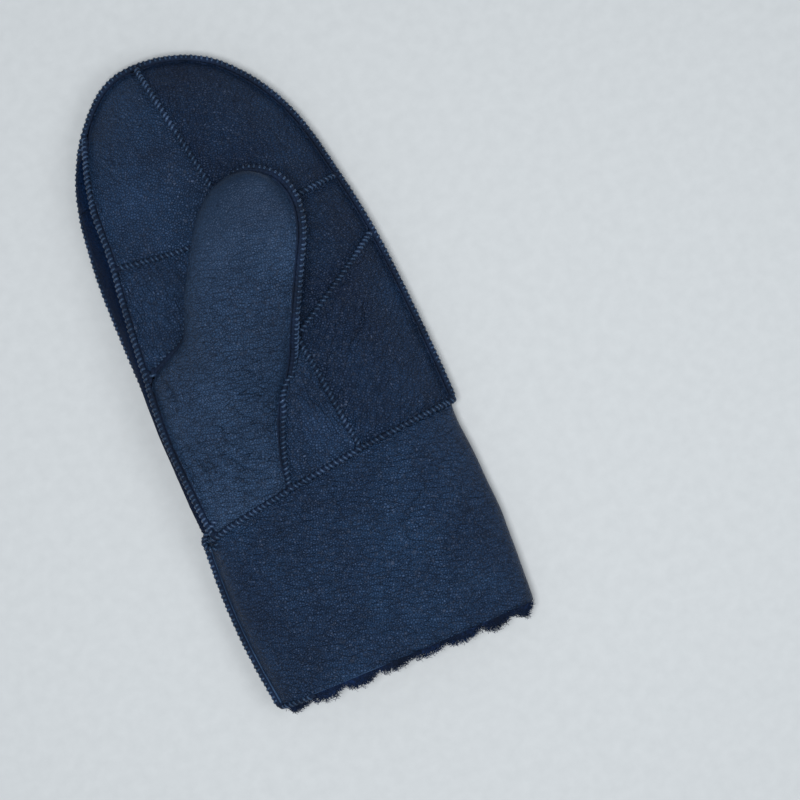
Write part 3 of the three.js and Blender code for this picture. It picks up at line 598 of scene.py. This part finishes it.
def tucked_edges(mesh, outside):
    """For each outer vertex, the move that tucks the panel's edge under the stitches of its seam."""
    rim = {i for polygon in mesh.polygons if polygon.material_index == RIM for i in polygon.vertices}
    border = [i for i in outside if i in rim]
    shifts = []
    for i in border:
        p = mesh.vertices[i].co
        near, _, distance = seam_tree.find(p)
        mm = distance / MM
        shifts.append((near - p) * (1 - TUCKED / mm) if TUCKED < mm < SEAM_REACH else Vector())
    border_tree = tree_of([mesh.vertices[i].co for i in border])
    moves = {}
    for i in outside:
        _, nearest, distance = border_tree.find(mesh.vertices[i].co)
        moves[i] = shifts[nearest] * bell(distance / MM, TUCK_SPREAD)
    return moves


def laid_down(mesh):
    """Flatten what would reach through the floor."""
    flat = [0.0] * (3 * len(mesh.vertices))
    mesh.vertices.foreach_get("co", flat)
    flat[2::3] = [max(z, 0.0) for z in flat[2::3]]
    mesh.vertices.foreach_set("co", flat)


print("edges tucked to, mm:", TUCKED)

# %% Merge and smooth a solid
MERGE = 0.01 * MM


def merged_copy(name):
    """A copy of a node's mesh with its corners merged and its triangles joined to quads."""
    mesh = nodes[name].data.copy()
    bm = bmesh.new()
    bm.from_mesh(mesh)
    bmesh.ops.remove_doubles(bm, verts=bm.verts, dist=MERGE)
    bmesh.ops.join_triangles(
        bm,
        faces=bm.faces,
        angle_face_threshold=0.7,
        angle_shape_threshold=3.1,
        cmp_seam=False,
        cmp_sharp=False,
    )
    return mesh, bm


def subdivided(mesh, levels):
    """An object with the mesh smoothed by subdivision, and the modifier applied."""
    piece = bpy.data.objects.new(mesh.name, mesh)
    bpy.context.scene.collection.objects.link(piece)
    smooth = piece.modifiers.new("smooth", "SUBSURF")
    smooth.levels = smooth.render_levels = levels
    smooth.use_limit_surface = False
    evaluated = piece.evaluated_get(bpy.context.evaluated_depsgraph_get())
    dense = bpy.data.meshes.new_from_object(evaluated)
    piece.modifiers.clear()
    piece.data = dense
    return piece


print("corners merged within, mm:", MERGE / MM)

# %% Make one panel
# Towards the thumb's tip the grain and wrinkling fade, and the fading grain also darkens the colour as
# painted shade.
FLAT_START, FLAT_SPAN = 30 * MM, 50 * MM
FLAT_FOLD, FLAT_GRAIN = 0.7, 0.6


def soft_panel(name, material, levels, thumb, base_fold):
    """A leather panel that stands for a node."""
    mesh, bm = merged_copy(name)
    mesh.name = name + "_soft"
    sort_faces(bm, thumb)
    crease = bm.edges.layers.float.new("crease_edge")
    for edge in bm.edges:
        kinds = [face.material_index for face in edge.link_faces]
        if kinds[0] != kinds[1] or kinds == [RIM, RIM] and edge.calc_face_angle(0) > SHARP:
            edge[crease] = 1.0
    bm.to_mesh(mesh)
    bm.free()
    piece = subdivided(mesh, levels)
    dense = piece.data
    field = crease_field(CREASES[name]) if name in CREASES else None
    outer = [polygon for polygon in dense.polygons if polygon.material_index == OUTER]
    outside = {i for polygon in outer for i in polygon.vertices}
    fold = dense.attributes.new("fold", "FLOAT", "POINT")
    grain = dense.attributes.new("grain", "FLOAT", "POINT")
    normals = [v.normal.copy() for v in dense.vertices]
    moves = tucked_edges(dense, outside)
    for i in outside:
        vertex = dense.vertices[i]
        flat = clamp((vertex.co.y - FLAT_START) / FLAT_SPAN, 0.0, 1.0) if thumb else 0.0
        vertex.co, wrinkled = moved_point(vertex.co + moves[i], normals[i], field)
        fold.data[i].value = max(wrinkled, base_fold) * (1 - FLAT_FOLD * flat)
        grain.data[i].value = 1 - FLAT_GRAIN * flat
    laid_down(dense)
    dense.materials[0] = material
    dense.materials.append(cut_edge if name == "cuff" else raw_edge)
    dense.materials.append(wool)
    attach(piece, "root")
    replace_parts(piece, name)
    return piece


print("flat towards the thumb's tip from y, mm:", round(FLAT_START / MM))

# %% Tones of the panels, from dark to light
# The thumb, the palest, and the two light panels are lightened as a painted sheen where the light falls on
# them, and the side strip is darkened as painted shade, since it is turned from the light.
PALM_TONES = ("#12213a", "#162a45", "#1b3352")
SHEEN_LIT_TONES = ("#1c2e48", "#213856", "#284264")
THUMB_SHEEN_TONES = ("#253a56", "#2d4564", "#364f70")
SHADED_STRIP_TONES = ("#0f203c", "#132747", "#183154")
CUFF_TONES = ("#192c47", "#1e3553", "#243f60")
print("darkest and lightest tone:", SHADED_STRIP_TONES[0], THUMB_SHEEN_TONES[2])

# %% Make the panels: tones, roughness, pattern turn, smoothing, on the thumb, base wrinkling
PANELS = {
    "back_panel": (PALM_TONES, 0.46, 10, 3, False, 0.35),
    "gusset_lower": (SHADED_STRIP_TONES, 0.55, 75, 2, False, 0.2),
    "gusset_upper": (SHADED_STRIP_TONES, 0.55, 95, 3, False, 0.2),
    "palm_tip_thumb_side": (SHEEN_LIT_TONES, 0.45, 35, 3, False, 0.3),
    "palm_tip_little_side": (PALM_TONES, 0.46, 100, 3, False, 0.35),
    "palm_side": (PALM_TONES, 0.47, 60, 3, False, 0.4),
    "palm_corner": (PALM_TONES, 0.45, 130, 3, False, 0.45),
    "palm_lower": (SHEEN_LIT_TONES, 0.45, 80, 3, False, 0.45),
    "thumb_front": (THUMB_SHEEN_TONES, 0.47, 12, 3, True, 0.45),
    "thumb_back": (PALM_TONES, 0.5, 50, 2, True, 0.3),
    "cuff": (CUFF_TONES, 0.45, 20, 3, False, 0.5),
}
LEATHER_IOR = 1.5
# The side strip is turned from the light and buffed dull, so it hardly mirrors anything.
DULL_IOR = 1.07
panels = []
for name, (tones, roughness, turn, levels, thumb, base_fold) in PANELS.items():
    ior = DULL_IOR if tones == SHADED_STRIP_TONES else LEATHER_IOR
    finish = leather_material("sheepskin_nappa_" + name, tones, roughness, turn, ior)
    panels.append(soft_panel(name, finish, levels, thumb, base_fold))
print("panels:", len(panels), "faces:", sum(len(p.data.polygons) for p in panels))

# %% [markdown]
# ## Whipped seams
# The two raw edges are held together by thread that goes over them again and again. One twisted tube would be
# quicker, but it shows no gaps between the stitches. So the ridge is a slim leather core that bulges between
# them, and each stitch is a half ring of flat thread, spun round the core and leaning along the seam.

# %% Which way is out at a seam
leather_tree = tree_of([v.co for p in panels for v in p.data.vertices])
NEAR_COUNT = 30
EVENED = 6


def outs_along(path):
    """Away from the leather at each point of a path, square to it and evened out."""
    raw = []
    for i, p in enumerate(path):
        near = leather_tree.find_n(p, NEAR_COUNT)
        raw.append((p - sum((co for co, _, _ in near), Vector()) / len(near)).normalized())
    outs = []
    for i in range(len(path)):
        way = way_at(path, i)
        mean = sum(raw[max(0, i - EVENED):i + EVENED + 1], Vector())
        outs.append((mean - way * mean.dot(way)).normalized())
    return outs


def way_at(path, i):
    """The way a path runs at its point i."""
    return (path[min(i + 2, len(path) - 1)] - path[max(i - 2, 0)]).normalized()


print("points of leather:", sum(len(p.data.vertices) for p in panels))

# %% One stitch
STITCH_MM = 2.3
STITCH_RADIUS = 1.2 * MM
THREAD_RADIUS = 0.43 * MM
THREAD_FLATTENED = 1.35
STITCH_LEAN = math.radians(30)
STITCH_START, STITCH_SWEEP = math.radians(-25), math.radians(230)
STITCH_STEPS = 8


def rotated(bm, verts, angle, axis):
    """Turn vertices about an axis through the origin."""
    bmesh.ops.rotate(bm, verts=verts, cent=(0, 0, 0), matrix=Matrix.Rotation(angle, 3, axis))


def smooth_mesh(bm, name):
    """A mesh with smooth faces, made from a bmesh that is then freed."""
    for face in bm.faces:
        face.smooth = True
    mesh = bpy.data.meshes.new(name)
    bm.to_mesh(mesh)
    bm.free()
    return mesh


def stitch_mesh():
    """A ring of flat thread spun over the top of the seam, open below."""
    bm = bmesh.new()
    bmesh.ops.create_circle(bm, segments=6, radius=THREAD_RADIUS)
    rotated(bm, bm.verts, math.radians(90), "X")
    bmesh.ops.scale(bm, verts=bm.verts, vec=(1, 1, THREAD_FLATTENED))
    bmesh.ops.translate(bm, verts=bm.verts, vec=(STITCH_RADIUS, 0, 0))
    rotated(bm, bm.verts, STITCH_START, "Z")
    bmesh.ops.spin(
        bm,
        geom=bm.edges[:] + bm.verts[:],
        cent=(0, 0, 0),
        axis=(0, 0, 1),
        angle=STITCH_SWEEP,
        steps=STITCH_STEPS,
    )
    bmesh.ops.holes_fill(bm, edges=[e for e in bm.edges if e.is_boundary], sides=8)
    bmesh.ops.recalc_face_normals(bm, faces=bm.faces)
    return smooth_mesh(bm, "one_stitch")


one_stitch = stitch_mesh()
print("faces in a stitch:", len(one_stitch.polygons))

# %% Put many copies into one piece
GROUP = 60


def new_piece(name, mesh, finish):
    """A finished object that rides on the mitten."""
    laid_down(mesh)
    mesh.materials.clear()
    mesh.materials.append(finish)
    piece = bpy.data.objects.new(name, mesh)
    bpy.context.scene.collection.objects.link(piece)
    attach(piece, "root")
    return piece


def gathered(name, placed):
    """One mesh of many placed copies, put together group by group."""
    whole = bmesh.new()
    for start in range(0, len(placed), GROUP):
        group = bmesh.new()
        for source, matrix in placed[start:start + GROUP]:
            before = len(group.verts)
            group.from_mesh(source)
            group.verts.ensure_lookup_table()
            bmesh.ops.transform(group, matrix=matrix, verts=group.verts[before:])
        part = bpy.data.meshes.new(name + "_group")
        group.to_mesh(part)
        group.free()
        whole.from_mesh(part)
        bpy.data.meshes.remove(part)
    mesh = bpy.data.meshes.new(name)
    whole.to_mesh(mesh)
    whole.free()
    return mesh


print("copies in a group:", GROUP)

# %% Lay stitches over a path
SEAM_PROUD = {"seam_thumb": 1.1}
PROUD = 0.5
LEAN_SPREAD, SIZE_SPREAD = 0.09, 0.06
STITCH_HEIGHT = 0.95


def raised(name, path, outs):
    """The path of a seam lifted off the leather, because the stitched edges stand up."""
    lift = SEAM_PROUD.get(name, PROUD) * MM
    return [p + out * lift for p, out in zip(path, outs)]


def whipped(name, path, outs, closed=False):
    """Stitches over a path, and how many."""
    rng = random.Random(name)
    step = STITCH_MM * MM / PATH_STEP
    count = int(len(path) / step)
    placed = []
    for k in range(0 if closed else 1, count):
        i = min(len(path) - 1, round(k * step))
        out, way = outs[i], way_at(path, i)
        turned = Matrix((way.cross(out), out, -way)).transposed().to_4x4()
        lean = Matrix.Rotation(STITCH_LEAN + rng.uniform(-LEAN_SPREAD, LEAN_SPREAD), 4, "Y")
        wide = 1.0 + rng.uniform(-SIZE_SPREAD, SIZE_SPREAD)
        high = STITCH_HEIGHT + rng.uniform(-SIZE_SPREAD, SIZE_SPREAD)
        size = Matrix.Diagonal((wide, high, 1.0, 1.0))
        placed.append((one_stitch, Matrix.Translation(path[i]) @ turned @ lean @ size))
    return new_piece(name + "_stitches", gathered(name + "_stitches", placed), thread), count


print("one stitch each, mm:", STITCH_MM)

# %% Core under the stitches
CORE_RADIUS = 1.0 * MM
CORE_BULGE = 0.12


def core(name, runs, closed=False):
    """The raw edges under the stitches, as slim cores that bulge between them."""
    curve = bpy.data.curves.new(name + "_core", "CURVE")
    curve.dimensions = "3D"
    per_stitch = 2 * math.pi * PATH_STEP / (STITCH_MM * MM)
    for path in runs:
        spline = curve.splines.new("POLY")
        spline.points.add(len(path) - 1)
        for i, (target, p) in enumerate(zip(spline.points, path)):
            target.co = (*p, 1)
            target.radius = 1 - CORE_BULGE * math.cos(i * per_stitch)
        spline.use_cyclic_u = closed
    curve.bevel_depth = CORE_RADIUS
    curve.bevel_resolution = 2
    curve.use_fill_caps = True
    holder = bpy.data.objects.new(name + "_core", curve)
    bpy.context.scene.collection.objects.link(holder)
    evaluated = holder.evaluated_get(bpy.context.evaluated_depsgraph_get())
    mesh = bpy.data.meshes.new_from_object(evaluated)
    bpy.data.objects.remove(holder)
    for polygon in mesh.polygons:
        polygon.use_smooth = True
    return new_piece(name + "_core", mesh, raw_edge)


print("core, mm across:", 2 * CORE_RADIUS / MM)

# %% Whip all the seams
stitches = 0
seam_ends = []
for name in SEAMS:
    outs = outs_along(paths[name])
    if name not in CLOSED:
        seam_ends += [(paths[name][0], outs[0]), (paths[name][-1], outs[-1])]
    path = raised(name, paths[name], outs)
    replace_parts(core(name, [path, paths[name]], name in CLOSED), name)
    stitches += whipped(name, path, outs, name in CLOSED)[1]
print("stitches:", stitches)

# %% [markdown]
# ## Bunched leather where seams meet
# At each end of a seam the layers are pressed into a small lump under the stitches, and no gap is left. The
# seams could be trimmed to fit each other, but a sunken ball of leather at each end looks the same and is
# simpler. The thumb's corner is wider than the others, so it gets one more, a little below.

# %% Bunches
BUNCH_RADIUS = 2.1 * MM
BUNCH_SUNK = 1.1 * MM
CORNER_BELOW = Vector((0, -2.4, 0)) * MM
CORNER_ASIDE = Vector((1.1, 0, 0)) * MM
thumb_end = min((paths["seam_thumb"][0], paths["seam_thumb"][-1]), key=lambda p: p.x)
below = thumb_end + CORNER_BELOW
thumb_corner = min(paths["seam_gusset"], key=lambda p: (p - below).length) + CORNER_ASIDE
seam_ends.append((thumb_corner, Vector((0, 0, 1))))
bm = bmesh.new()
for p, out in seam_ends:
    sunk = Matrix.Translation(p - out * BUNCH_SUNK)
    bmesh.ops.create_icosphere(bm, subdivisions=2, radius=BUNCH_RADIUS, matrix=sunk)
new_piece("seam_bunches", smooth_mesh(bm, "seam_bunches"), raw_edge)
print("bunches:", len(seam_ends), "and the thumb corner at", [round(c / MM, 1) for c in thumb_corner])

# %% [markdown]
# ## The point of the side strip
# Near the fingertips the side strip runs out to a point between its two seams. Stretching the panel would
# spoil its edge, so the point is a small web that bridges the two seam lines, and then gets the thickness of
# the leather on its inside.

# %% Strip point
STRIP_ROWS = 10
STRIP_OVERLAP = 1.5 * MM
STRIP_SHORT = 0.8 * MM
STRIP_THICKNESS = 1.2 * MM
upper_strip = bpy.data.objects["gusset_upper_soft"]
strip_end = max(v.co.y for v in upper_strip.data.vertices) - STRIP_OVERLAP
strip_tip = max((paths["seam_gusset"][0], paths["seam_gusset"][-1]), key=lambda p: p.y)


def on_path(name, y):
    """The point of a path on the thumb side at a height along the hand."""
    return min((p for p in paths[name] if p.x < 0 and p.y > 0), key=lambda p: abs(p.y - y))


bm = bmesh.new()
for name in ("seam_back_edge", "seam_gusset"):
    length = strip_tip.y - STRIP_SHORT - strip_end
    heights = [strip_end + length * k / STRIP_ROWS for k in range(STRIP_ROWS + 1)]
    row = [bm.verts.new(on_path(name, y)) for y in heights]
    for a, b in zip(row, row[1:]):
        bm.edges.new((a, b))
bmesh.ops.bridge_loops(bm, edges=bm.edges[:])
bmesh.ops.subdivide_edges(bm, edges=bm.edges[:], cuts=2, use_grid_fill=True)
bmesh.ops.recalc_face_normals(bm, faces=bm.faces)
if sum(f.normal.x for f in bm.faces) > 0:
    bmesh.ops.reverse_faces(bm, faces=bm.faces)
bmesh.ops.solidify(bm, geom=bm.faces[:], thickness=STRIP_THICKNESS)
strip_mesh = smooth_mesh(bm, "gusset_point")
grain = strip_mesh.attributes.new("grain", "FLOAT", "POINT")
grain.data.foreach_set("value", [1.0] * len(strip_mesh.vertices))
strip_leather = bpy.data.materials["sheepskin_nappa_gusset_upper"]
new_piece("gusset_point", strip_mesh, strip_leather)
print("strip point, mm:", round((strip_tip.y - strip_end) / MM, 1), "faces:", len(strip_mesh.polygons))

# %% [markdown]
# ## The knot at the wrist and the tail at the hem
# Where the side seams meet the wrist, the chain of thread is curled up and caught down. At the hem's corner
# the whipping goes on round the edge for nearly two centimetres. Both are stitches over a core like any seam,
# so they need only a path: the knot's is listed, and the tail's is read from the edge of the cuff.

# %% Knot
KNOT_MM = [
    (-52.5, -53.0, 24.4), (-55.6, -54.6, 24.8), (-58.6, -56.4, 24.0),
    (-61.4, -58.8, 22.2), (-62.9, -61.6, 20.6), (-61.6, -64.2, 20.0),
    (-58.8, -64.8, 20.6), (-57.4, -62.4, 21.8), (-59.0, -60.6, 23.2),
]
KNOT_UP = Vector((-0.3, -0.2, 1.0))
knot_path = resampled([Vector(p) * MM for p in KNOT_MM])
knot_outs = []
for i in range(len(knot_path)):
    way = way_at(knot_path, i)
    knot_outs.append((KNOT_UP - way * KNOT_UP.dot(way)).normalized())
core("wrist_knot", [knot_path])
whipped("wrist_knot", knot_path, knot_outs)
print("knot, mm:", round(len(knot_path) * PATH_STEP / MM))

# %% Tail, in millimetres
TAIL_LENGTH, TAIL_POINTS = 17, 9
TAIL_FROM, TAIL_LOW, TAIL_Y = 0.3, 0.6, -141.8
TAIL_OUT = Vector((0, -0.75, 0.66)).normalized()
HEM_BEFORE, HEM_ABOVE, HEM_NEAR = -140.5, 12, 0.9
cuff_points = [v.co.copy() for v in panels[-1].data.vertices]
hem = [co for co in cuff_points if co.y < HEM_BEFORE * MM and co.z > HEM_ABOVE * MM]
hem_left = min(co.x for co in hem)
tail_run = []
for k in range(TAIL_POINTS):
    x = hem_left + (TAIL_FROM + k * TAIL_LENGTH / (TAIL_POINTS - 1)) * MM
    top = max(co.z for co in hem if abs(co.x - x) < HEM_NEAR * MM)
    tail_run.append(Vector((x, TAIL_Y * MM, top - TAIL_LOW * MM)))
tail_path = resampled(tail_run)
core("hem_tail", [tail_path])
whipped("hem_tail", tail_path, [TAIL_OUT] * len(tail_path))
print("tail, mm:", round(len(tail_path) * PATH_STEP / MM))

# %% [markdown]
# ## Wool at the mouth
# The fleece is the inside of the skin. It shows at the raw hem as short curly locks, in a few uneven tufts.
# A hair system would need its own shader and is lost in an export. So the lining's solid becomes a lumpy
# sleeve, and locks of three coiled fibres stand on its rim and on its inside near the mouth.

# %% Fleece sleeve
HEM_Y = -143.5 * MM
TUFTS_ACROSS, TUFTS_UP = 45, 60
LEAST_TUFT, TUFT_SPREAD = 0.12, 0.75
LUMP, FINE_LUMP, LUMP_SUNK = 0.9, 0.5, 0.2


def trimmed(point):
    """A point of the sleeve, past the hem only in a few uneven tufts."""
    if point.y > HEM_Y:
        return point
    tuft = 0.5 + 0.5 * noise.noise(Vector((point.x * TUFTS_ACROSS, point.z * TUFTS_UP, 7.3)))
    share = LEAST_TUFT + TUFT_SPREAD * clamp(2.2 * tuft - 0.6, 0.0, 1.0)
    return Vector((point.x, HEM_Y + (point.y - HEM_Y) * share, point.z))


def fleece_sleeve():
    """The lining's solid as a lumpy sleeve."""
    mesh, bm = merged_copy("wool_lining")
    bmesh.ops.subdivide_edges(bm, edges=bm.edges, cuts=2, use_grid_fill=True)
    bmesh.ops.smooth_vert(
        bm, verts=bm.verts, factor=0.5, use_axis_x=True, use_axis_y=True, use_axis_z=True
    )
    bm.normal_update()
    for vertex in bm.verts:
        lump = noise.noise(vertex.co * 230) * LUMP + noise.noise(vertex.co * 520) * FINE_LUMP
        vertex.co = trimmed(vertex.co + vertex.normal * (lump - LUMP_SUNK) * MM)
    for face in bm.faces:
        face.smooth = True
    bm.to_mesh(mesh)
    bm.free()
    return mesh


sleeve_mesh = fleece_sleeve()
sleeve = new_piece("wool_sleeve", sleeve_mesh, wool)
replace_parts(sleeve, "wool_lining")
print("sleeve faces:", len(sleeve_mesh.polygons))

# %% One lock of wool
# A real fibre is about 0.03 mm thick, too fine to show, so each one drawn stands for a strand of many.
FIBRE_MM = 0.13
LOCK_MM = 3.6
LOCK_CURL_MM = (0.6, 1.2)
LOCK_TURN_DEG = (260, 520)
LOCK_HEIGHT = (0.7, 1.1)
LOCK_FIBRES = 3
LOCK_STEPS = 8
FIBRE_TILT = math.radians(60)
LOCK_KINDS = 6


def lock_mesh(seed):
    """Three coiled fibres that stand on one spot."""
    rng = random.Random(seed)
    bm = bmesh.new()
    for _ in range(LOCK_FIBRES):
        ring = bmesh.ops.create_circle(bm, segments=3, radius=FIBRE_MM * MM)["verts"]
        curl = rng.uniform(*LOCK_CURL_MM) * MM
        spin = math.radians(rng.uniform(*LOCK_TURN_DEG))
        start = rng.uniform(0, 6.28)
        rotated(bm, ring, FIBRE_TILT, "X")
        bmesh.ops.translate(bm, verts=ring, vec=(curl, 0, 0))
        rotated(bm, ring, start, "Z")
        edges = list(dict.fromkeys(e for v in ring for e in v.link_edges))
        height = LOCK_MM * MM * rng.uniform(*LOCK_HEIGHT)
        bmesh.ops.spin(
            bm,
            geom=ring + edges,
            cent=(0, 0, 0),
            axis=(0, 0, 1),
            dvec=(0, 0, height / LOCK_STEPS),
            angle=spin,
            steps=LOCK_STEPS,
        )
    bmesh.ops.recalc_face_normals(bm, faces=bm.faces)
    return smooth_mesh(bm, "wool_lock")


LOCKS = [lock_mesh(seed) for seed in range(LOCK_KINDS)]
print("faces in a lock:", len(LOCKS[0].polygons))

# %% Stand the locks on the sleeve
NORMAL_SHARE, LEAN_SHARE = 0.8, 0.75
LOCK_SIZE = (0.6, 1.1)
ROOT_SUNK = 0.6 * MM
RIM_Y, MOUTH_Y = -139 * MM, -100 * MM
MOUTH_HALF, MOUTH_HEIGHT = 40 * MM, 13 * MM
RIM_LOCKS, MOUTH_LOCKS = 1700, 900


def locks_on(name, spots, towards, seed):
    """Locks on some faces of the sleeve, leaning towards a direction."""
    rng = random.Random(seed)
    placed = []
    for centre, normal in spots:
        lean = Vector([rng.uniform(-1, 1) for _ in range(3)])
        way = (normal * NORMAL_SHARE + towards + lean * LEAN_SHARE).normalized()
        size = rng.uniform(*LOCK_SIZE)
        root = Matrix.Translation(centre - normal * ROOT_SUNK)
        turned = way.to_track_quat("Z", "Y").to_matrix().to_4x4()
        placed.append((rng.choice(LOCKS), root @ turned @ Matrix.Diagonal((size, size, size, 1))))
    return new_piece(name, gathered(name, placed), wool)


def faces_inwards(centre, normal):
    """Whether a face of the sleeve looks into the mouth."""
    middle = Vector((clamp(centre.x, -MOUTH_HALF, MOUTH_HALF), centre.y, MOUTH_HEIGHT))
    return normal.dot(centre - middle) < 0


picker = random.Random(11)
faces = [(p.center.copy(), p.normal.copy()) for p in sleeve_mesh.polygons]
rim = [face for face in faces if face[0].y < RIM_Y]
inside = [face for face in faces if RIM_Y <= face[0].y < MOUTH_Y and faces_inwards(*face)]
rim_spots = [picker.choice(rim) for _ in range(RIM_LOCKS)]
inside_spots = [picker.choice(inside) for _ in range(MOUTH_LOCKS)]
thumb_side = [spot for spot in rim_spots if spot[0].x < 0]
little_side = [spot for spot in rim_spots if spot[0].x >= 0]
locks_on("wool_fringe_thumb_side", thumb_side, Vector((0, -0.9, 0)), 3)
locks_on("wool_fringe_little_side", little_side, Vector((0, -0.9, 0)), 5)
locks_on("wool_inside", inside_spots, Vector((0, -0.4, 0)), 4)
print("rim and inside faces:", len(rim), len(inside))

# %% [markdown]
# ## Floor, light and camera
# The mitten lies on a plain pale sheet and is seen from straight above. One small light would give hard
# glints, so two wide ones and a pale sky light it softly. The camera's frame is wider than the mitten, which
# lies in its left half and leans 23 degrees.

# %% Floor
FLOOR_HALF = 3
FLOOR_DROP = 0.2 * MM
FLOOR_GRAIN = 180.0
bm = bmesh.new()
bmesh.ops.create_grid(bm, x_segments=1, y_segments=1, size=FLOOR_HALF)
floor_mesh = bpy.data.meshes.new("floor")
bm.to_mesh(floor_mesh)
bm.free()
floor = bpy.data.objects.new("floor", floor_mesh)
bpy.context.scene.collection.objects.link(floor)
floor.location.z = -FLOOR_DROP
card, tree, shader, place = start_material("matte_card")
speckle = add(
    tree, "ShaderNodeTexNoise", {"Vector": place, "Scale": FLOOR_GRAIN, "Detail": 4.0}
).outputs["Fac"]
floor_tone = ramp(tree, speckle, [(0.3, "#d3d8db"), (0.7, "#d8dde0")])
tree.links.new(floor_tone, shader.inputs["Base Color"])
shader.inputs["Roughness"].default_value = 0.8
floor_mesh.materials.append(card)
print("floor, m:", 2 * FLOOR_HALF)

# %% Lights: place and size in metres, power in watts
LIGHTS = {
    "soft_top": ((-0.07, -0.06, 1.15), 0.35, 8.0),
    "soft_right": ((0.5, -0.3, 0.95), 0.6, 2.4),
}
SKY_COLOUR = "#e8eef4"
SKY_STRENGTH = 0.26


def area_light(name, place, size, power):
    """A round soft light that looks at the origin."""
    light = bpy.data.lights.new(name, "AREA")
    light.shape = "DISK"
    light.size = size
    light.energy = power
    lamp = bpy.data.objects.new(name, light)
    bpy.context.scene.collection.objects.link(lamp)
    lamp.location = place
    lamp.rotation_euler = (-Vector(place)).to_track_quat("-Z", "Y").to_euler()


for name, (place, size, power) in LIGHTS.items():
    area_light(name, place, size, power)
world = bpy.data.worlds.new("studio")
world.use_nodes = True
sky = world.node_tree.nodes["Background"]
sky.inputs["Color"].default_value = linear(SKY_COLOUR)
sky.inputs["Strength"].default_value = SKY_STRENGTH
bpy.context.scene.world = world
bpy.context.scene.view_settings.view_transform = "Standard"
print("lights:", list(LIGHTS))

# %% Camera
LEAN_DEG = 23.0
FRAME_MM = 356.8
CAMERA_MM = 950.0
PALM_MM = 15
CENTRE_MM = (41.9, -36.4)
SENSOR_MM = 36
camera_data = bpy.data.cameras.new("camera")
camera_data.sensor_width = SENSOR_MM
camera_data.lens = SENSOR_MM * CAMERA_MM / FRAME_MM
camera = bpy.data.objects.new("camera", camera_data)
bpy.context.scene.collection.objects.link(camera)
camera.location = (CENTRE_MM[0] * MM, CENTRE_MM[1] * MM, (CAMERA_MM + PALM_MM) * MM)
camera.rotation_euler = (0, 0, math.radians(-LEAN_DEG))
bpy.context.scene.camera = camera
print("lens, mm:", round(camera_data.lens, 1))
